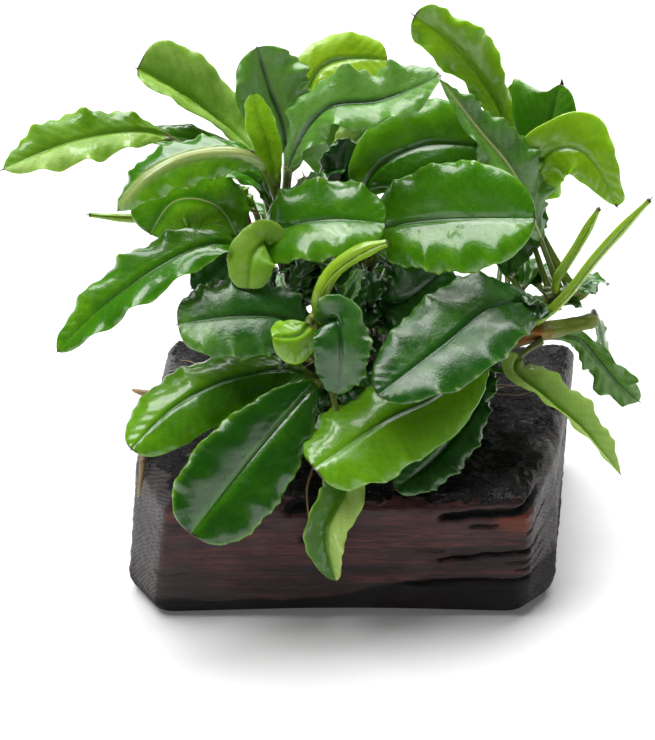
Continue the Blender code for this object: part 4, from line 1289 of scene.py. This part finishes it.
BRANCHES = (
    Branch("rhizome_main", (-18, -2, 37), ((-16, 0, 38.2), (-6, 2, 38.4), (6, 0, 38.2), (19, -2, 38))),
    Branch("rhizome_back_left", (-7, 2, 37.5),
           ((-9, 7, 38), (-11, 11, 51), (-14, 17, 68), (-16, 20, 80)), BACK_LEFT_LEAVES),
    Branch("rhizome_left", (-15, 0, 37.5),
           ((-20, 6, 38), (-20, 7, 52), (-21, 9, 66), (-22, 10, 76)), LEFT_LEAVES),
    Branch("rhizome_centre", (5, 0.5, 37.5),
           ((4, 6, 38), (3, 9, 52), (2, 12, 68), (3, 13, 76)), CENTRE_LEAVES),
    Branch("rhizome_right", (17, -1.5, 37.5),
           ((21, 4, 38), (30, 5, 48), (40, 7, 58), (54, 9, 63)), RIGHT_LEAVES, fresh=0.55),
    Branch("rhizome_right_low", (33, 5, 51),
           ((39, 1, 56), (47, 2, 57), (56, 4, 58)), RIGHT_LOW_LEAVES, fresh=0.35),
    Branch("rhizome_front", (-2, 1.5, 37.5),
           ((-2, -5, 38), (-4, -11, 52), (-7, -17, 66), (-8, -19, 72)), FRONT_LEAVES),
    Branch("rhizome_rear", (7, 1, 37), ((8, 13, 38), (8, 24, 42), (7, 34, 48), (7, 42, 56)), REAR_LEAVES),
)
STEMS = {branch.name: branch for branch in BRANCHES}


@dataclass(frozen=True)
class Undergrowth:
    """The small leaves along one stem that are too many and too small for solids of their own.

    low and high are the shares of the stem's length between which they spring. They spread round the
    bearing middle, in degrees from the front towards the right, by up to spread to each side. size holds
    their shortest and longest length, and climb how steeply they rise.
    """

    stem: str
    count: int
    seed: int
    low: float
    high: float
    middle: float = 0.0
    spread: float = 180.0
    size: tuple[float, float] = (11.0, 19.0)
    climb: tuple[float, float] = (0.0, 0.6)

    def leaves(self) -> list[Leaf]:
        """Draws the leaves: each arches out and up from the stem and droops at its tip."""
        draw = np.random.RandomState(self.seed)
        made = []
        for number in range(self.count):
            place = draw.uniform(self.low, self.high)
            centre = along(STEMS[self.stem].path(), [place])[0]
            turn = math.radians(self.middle + draw.uniform(-self.spread, self.spread))
            out = np.array((math.sin(turn), -math.cos(turn), 0.0))
            length, climb = draw.uniform(*self.size), draw.uniform(*self.climb)
            up = np.array((0.0, 0.0, 1.0))
            midrib = (
                centre + out * 0.4 * length + up * 0.5 * climb * length,
                centre + out * 0.75 * length + up * 0.75 * climb * length,
                centre + out * length + up * (climb - 0.2) * length,
            )
            face = tuple(up + out * draw.uniform(0.0, 0.6) + draw.normal(0, 0.15, 3))
            made.append(Leaf(
                f"{self.stem}_{number}", place, midrib, face, length * draw.uniform(0.4, 0.55),
                LeafKind.DARK, stalk=0.25, waves=4, wave=0.7, tip=draw.uniform(-0.3, 0.5), rings=30,
                halves=6))
        return made

    def skins(self) -> list[Skin]:
        """Works out the leaves' skins."""
        stem = STEMS[self.stem]
        return [leaf.surface(*stem.root_of(leaf)) for leaf in self.leaves()]


# Dark leaves that fill the deep shade in the middles of the crowns: their darkness is painted shade.
SHADE_FILL_UNDERGROWTH = (
    Undergrowth("rhizome_centre", 16, 3, 0.25, 0.85),
    Undergrowth("rhizome_left", 12, 5, 0.2, 0.75),
    Undergrowth("rhizome_front", 12, 8, 0.15, 0.75, spread=120, size=(8.0, 13.0), climb=(-0.2, 0.3)),
    Undergrowth("rhizome_right", 14, 13, 0.15, 0.6, spread=150),
)
DEEP_SHADE_FILL_UNDERGROWTH = (
    Undergrowth("rhizome_back_left", 9, 51, 0.85, 1.0, middle=80, spread=50, size=(13.0, 18.0),
                climb=(0.6, 1.1)),
    Undergrowth("rhizome_centre", 14, 53, 0.1, 0.7, spread=70, size=(10.0, 16.0), climb=(-0.1, 0.4)),
    Undergrowth("rhizome_right", 8, 55, 0.6, 0.9, middle=20, spread=70, size=(8.0, 13.0), climb=(0.3, 0.9)),
    Undergrowth("rhizome_centre", 14, 57, 0.55, 0.98, spread=75, size=(11.0, 17.0), climb=(-0.3, 0.15)),
    Undergrowth("rhizome_front", 8, 59, 0.6, 0.98, middle=100, spread=50, size=(8.0, 12.0),
                climb=(-0.2, 0.3)),
)
GREEN_UNDERGROWTH = (
    Undergrowth("rhizome_back_left", 14, 21, 0.3, 0.85, middle=180, spread=100, size=(13.0, 22.0)),
    Undergrowth("rhizome_centre", 10, 23, 0.4, 0.95, middle=180, spread=80, size=(13.0, 22.0)),
    Undergrowth("rhizome_right", 12, 25, 0.4, 0.95, middle=170, spread=80, size=(12.0, 20.0)),
    Undergrowth("rhizome_rear", 16, 27, 0.15, 0.9, middle=180, spread=120, size=(10.0, 17.0)),
)


BLOCK_MIDDLE = 3.0
BLOCK_HALVES = (52.5, 34.5)
BLOCK_TOP = 35.6
ROOT_RADII = (0.24, 0.48)
HAIR_RADIUS = 0.11


@dataclass(frozen=True)
class Rootstock:
    """The roots that leave one stem, run down its side and creep over the block or over its edge.

    They spread as an Undergrowth's leaves do, and reach holds how far the shortest and the longest creep.
    """

    stem: str
    count: int
    seed: int
    middle: float = 0.0
    spread: float = 180.0
    reach: tuple[float, float] = (12.0, 34.0)

    def roots(self) -> list[Root]:
        """Draws the roots, each from its own height and to its own side."""
        draw = np.random.RandomState(self.seed)
        path = STEMS[self.stem].path()
        made = []
        for _ in range(self.count):
            turn = math.radians(self.middle + draw.uniform(-self.spread, self.spread))
            out = np.array((math.sin(turn), -math.cos(turn), 0.0))
            shares = np.linspace(draw.uniform(0.2, 0.7), 0.05, 4)
            down = along(path, shares) + out * np.array([[1.6], [2.4], [2.7], [3.4]])
            foot = np.array((*down[-1][:2], BLOCK_TOP))
            reach = draw.uniform(*self.reach)
            aside = np.array((out[1], -out[0], 0.0)) * draw.uniform(-0.4, 0.4)
            creep = [foot + (out * share + aside * share**2) * reach for share in (0.35, 0.7, 1.0)]
            route = tuple(map(tuple, (*down, *map(self.over_edge, creep))))
            made.append(Root(route, draw.uniform(*ROOT_RADII)))
        return made

    @staticmethod
    def over_edge(point: Points) -> Points:
        """Brings a point that lies beyond the block's top edge down its side, as far as it lies beyond."""
        beyond = max(abs(point[0] - BLOCK_MIDDLE) / BLOCK_HALVES[0], abs(point[1]) / BLOCK_HALVES[1])
        if beyond <= 1:
            return point
        x, y = (point[0] - BLOCK_MIDDLE) / beyond + BLOCK_MIDDLE, point[1] / beyond
        return np.array((x, y, 34.0 - (beyond - 1) * 45.0))


@dataclass(frozen=True)
class HairTuft:
    """A tuft of fine, pale root hairs that fan out from one spot."""

    place: Point
    towards: Point
    count: int
    seed: int
    length: float

    def hairs(self) -> list[Root]:
        """Draws the hairs as very thin roots."""
        draw = np.random.RandomState(self.seed)
        start = np.array(self.place)
        made = []
        for _ in range(self.count):
            way = unit(np.array(self.towards) + draw.normal(0, 0.45, 3))
            way = way * self.length * draw.uniform(0.6, 1.2)
            base = start + draw.normal(0, 0.8, 3)
            made.append(Root(tuple(map(tuple, (base, base + way * 0.5, base + way))), HAIR_RADIUS, 1.0))
        return made


ROOTS = (
    Root(((-36, -6, 36), (-43, -10, 36), (-46.8, -16, 35.2), (-47.6, -22, 32), (-48.6, -24.5, 28)), 1.3),
    Root(((-36, 4, 36), (-45, 6, 36.2), (-50, 7, 36), (-53, 8.6, 35.9)), 1.6),
    Root(((-4, -8, 36), (-8, -20, 35.6), (-9, -32, 35), (-9, -36, 29)), 0.5),
)
ROOTSTOCKS = (
    Rootstock("rhizome_left", 7, 31),
    Rootstock("rhizome_back_left", 6, 32, middle=180, spread=110),
    Rootstock("rhizome_centre", 6, 33, middle=180, spread=120),
    Rootstock("rhizome_front", 4, 34, reach=(8.0, 20.0)),
    Rootstock("rhizome_right", 6, 35, middle=170, spread=70),
    Rootstock("rhizome_rear", 10, 36, middle=180, spread=130, reach=(10.0, 38.0)),
)
HAIRS = (
    HairTuft((-10, 9, 90), (0.1, -0.3, 1.0), 18, 41, 6.5),
    HairTuft((-19, 6, 84), (-0.2, -0.3, -1.0), 6, 42, 8.0),
    HairTuft((46, 4, 60), (-0.6, -0.5, 0.8), 10, 43, 5.0),
    HairTuft((-6, -14, 60), (-0.5, -0.6, -0.4), 8, 44, 5.0),
    HairTuft((4, 30, 50), (0.2, 0.8, -0.4), 14, 45, 6.0),
)


@dataclass(frozen=True)
class Studio:
    """The pale floor, the soft lights and the camera of the photograph, in metres."""

    camera_place: Point = (-0.005, -0.40534, 0.31032)
    camera_aim: Point = (-0.005, 0.014, 0.038)
    lens: float = 100.0
    floor_size: float = 6.0
    walls: float = 1.0
    sky: float = 0.06
    walls_fade: tuple[float, float] = (0.07, 0.19)
    floor_glow: float = 0.07
    softboxes: tuple = (
        ("side_softbox", (-0.42, 0.03, 0.9), 33.0, 1.95),
        ("top_softbox", (0.02, 0.5, 0.86), 56.0, 4.25),
    )

    def aimed(self, piece: bpy.types.Object, place: Point, aim: Point) -> None:
        """Puts a lamp or the camera at a place and turns it towards another."""
        piece.location = place
        piece.rotation_euler = (Vector(aim) - Vector(place)).to_track_quat("-Z", "Y").to_euler()
        bpy.context.scene.collection.objects.link(piece)

    def softbox(self, name: str, place: Point, breadth: float, power: float) -> None:
        """Hangs one far, round lamp: breadth is its angle in degrees, and power its light on the floor."""
        lamp = bpy.data.lights.new(name, "SUN")
        lamp.angle = math.radians(breadth)
        lamp.energy = power
        self.aimed(bpy.data.objects.new(name, lamp), place, (0.0, 0.0, 0.0))

    def floor(self) -> None:
        """Lays the floor, a plain pale sheet."""
        half = self.floor_size / 2
        mesh = bpy.data.meshes.new("floor")
        corners = [(-half, -half, 0), (half, -half, 0), (half, half, 0), (-half, half, 0)]
        mesh.from_pydata(corners, [], [(0, 1, 2, 3)])
        graph = Graph("floor_paper")
        tint = graph.mix(graph.cloud(60.0), (0.86, 0.86, 0.86), (0.88, 0.88, 0.88))
        graph.dress(Base_Color=tint, Roughness=0.7, Specular_IOR_Level=0.2)
        mesh.materials.append(graph.dress(Emission_Color=(1.0, 1.0, 1.0), Emission_Strength=self.floor_glow))
        piece = bpy.data.objects.new("floor", mesh)
        bpy.context.scene.collection.objects.link(piece)

    def room(self) -> None:
        """Makes the room: its walls are white up to a low height, and dark above that."""
        world = bpy.data.worlds.new("studio")
        world.use_nodes = True
        tree = world.node_tree
        places = tree.nodes.new("ShaderNodeTexCoord")
        height = tree.nodes.new("ShaderNodeSeparateXYZ")
        wall = tree.nodes.new("ShaderNodeMapRange")
        wall.interpolation_type = "SMOOTHSTEP"
        low, high = self.walls_fade
        bounds = {"From Min": low, "From Max": high, "To Min": self.walls, "To Max": self.sky}
        for name, value in bounds.items():
            wall.inputs[name].default_value = value
        tree.links.new(places.outputs["Generated"], height.inputs[0])
        tree.links.new(height.outputs["Z"], wall.inputs["Value"])
        tree.links.new(wall.outputs[0], tree.nodes["Background"].inputs["Strength"])
        tree.nodes["Background"].inputs["Color"].default_value = (1.0, 1.0, 1.0, 1.0)
        bpy.context.scene.world = world

    def build(self) -> None:
        """Sets up the room, the lamps, the floor and the camera."""
        self.room()
        bpy.context.scene.view_settings.view_transform = "Standard"
        for softbox in self.softboxes:
            self.softbox(*softbox)
        self.floor()
        camera = bpy.data.cameras.new("camera")
        camera.lens = self.lens
        holder = bpy.data.objects.new("camera", camera)
        self.aimed(holder, self.camera_place, self.camera_aim)
        bpy.context.scene.camera = holder


@dataclass
class Plant:
    """The whole plant: it builds every branch with its leaves, the undergrowth and the roots."""

    branches: tuple
    finishes: dict = field(default_factory=dict)

    def finish(self, kind: LeafKind) -> bpy.types.Material:
        """Returns the material of a kind of leaf, made once."""
        if kind not in self.finishes:
            self.finishes[kind] = kind.value.material()
        return self.finishes[kind]

    def build(self) -> list[bpy.types.Object]:
        """Makes every piece of the plant.

        Returns:
            The pieces in order.
        """
        pieces = []
        bark = BARK.material()
        for branch in self.branches:
            stem = branch.skin().build(f"{branch.name}_bark", bark, "stem")
            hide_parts(branch.name)
            pieces.append(stem)
            for leaf in branch.leaves:
                root, inward = branch.root_of(leaf)
                skin = leaf.surface(root, inward)
                blade = skin.build(f"{leaf.name}_blade", self.finish(leaf.kind), leaf.kind.slot)
                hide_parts(leaf.name)
                pieces.append(blade)
        # The dark and shaded inner leaves fill the middles of the crowns with painted shade; the green ones
        # fill the backs.
        undergrowth = (
            ("dark", LeafKind.DARK, SHADE_FILL_UNDERGROWTH),
            ("shaded", LeafKind.DARK, DEEP_SHADE_FILL_UNDERGROWTH),
            ("green", LeafKind.GLOSSY, GREEN_UNDERGROWTH),
        )
        for title, kind, growths in undergrowth:
            skin = Skin.joined([skin for growth in growths for skin in growth.skins()])
            pieces.append(skin.build(f"{title}_inner_leaves", self.finish(kind), kind.slot))
        roots = list(ROOTS)
        roots += [root for stock in ROOTSTOCKS for root in stock.roots()]
        roots += [hair for tuft in HAIRS for hair in tuft.hairs()]
        skin = Skin.joined([root.skin() for root in roots])
        pieces.append(skin.build("clasping_roots", ROOT_SKIN.material(), "stem"))
        return pieces


def write_sizes() -> None:
    """Brings the view layer up to date."""
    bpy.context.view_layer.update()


def main() -> None:
    """Builds the block, the plant and the studio in order, and reports each piece."""
    logging.basicConfig(level=logging.INFO, format="%(name)s: %(message)s")
    pieces = [DriftwoodBlock().build()]
    pieces += Plant(BRANCHES).build()
    for piece in pieces:
        log.info("%s: %d faces", piece.name, len(piece.data.polygons))
    Studio().build()
    write_sizes()


if __name__ == "__main__":
    main()
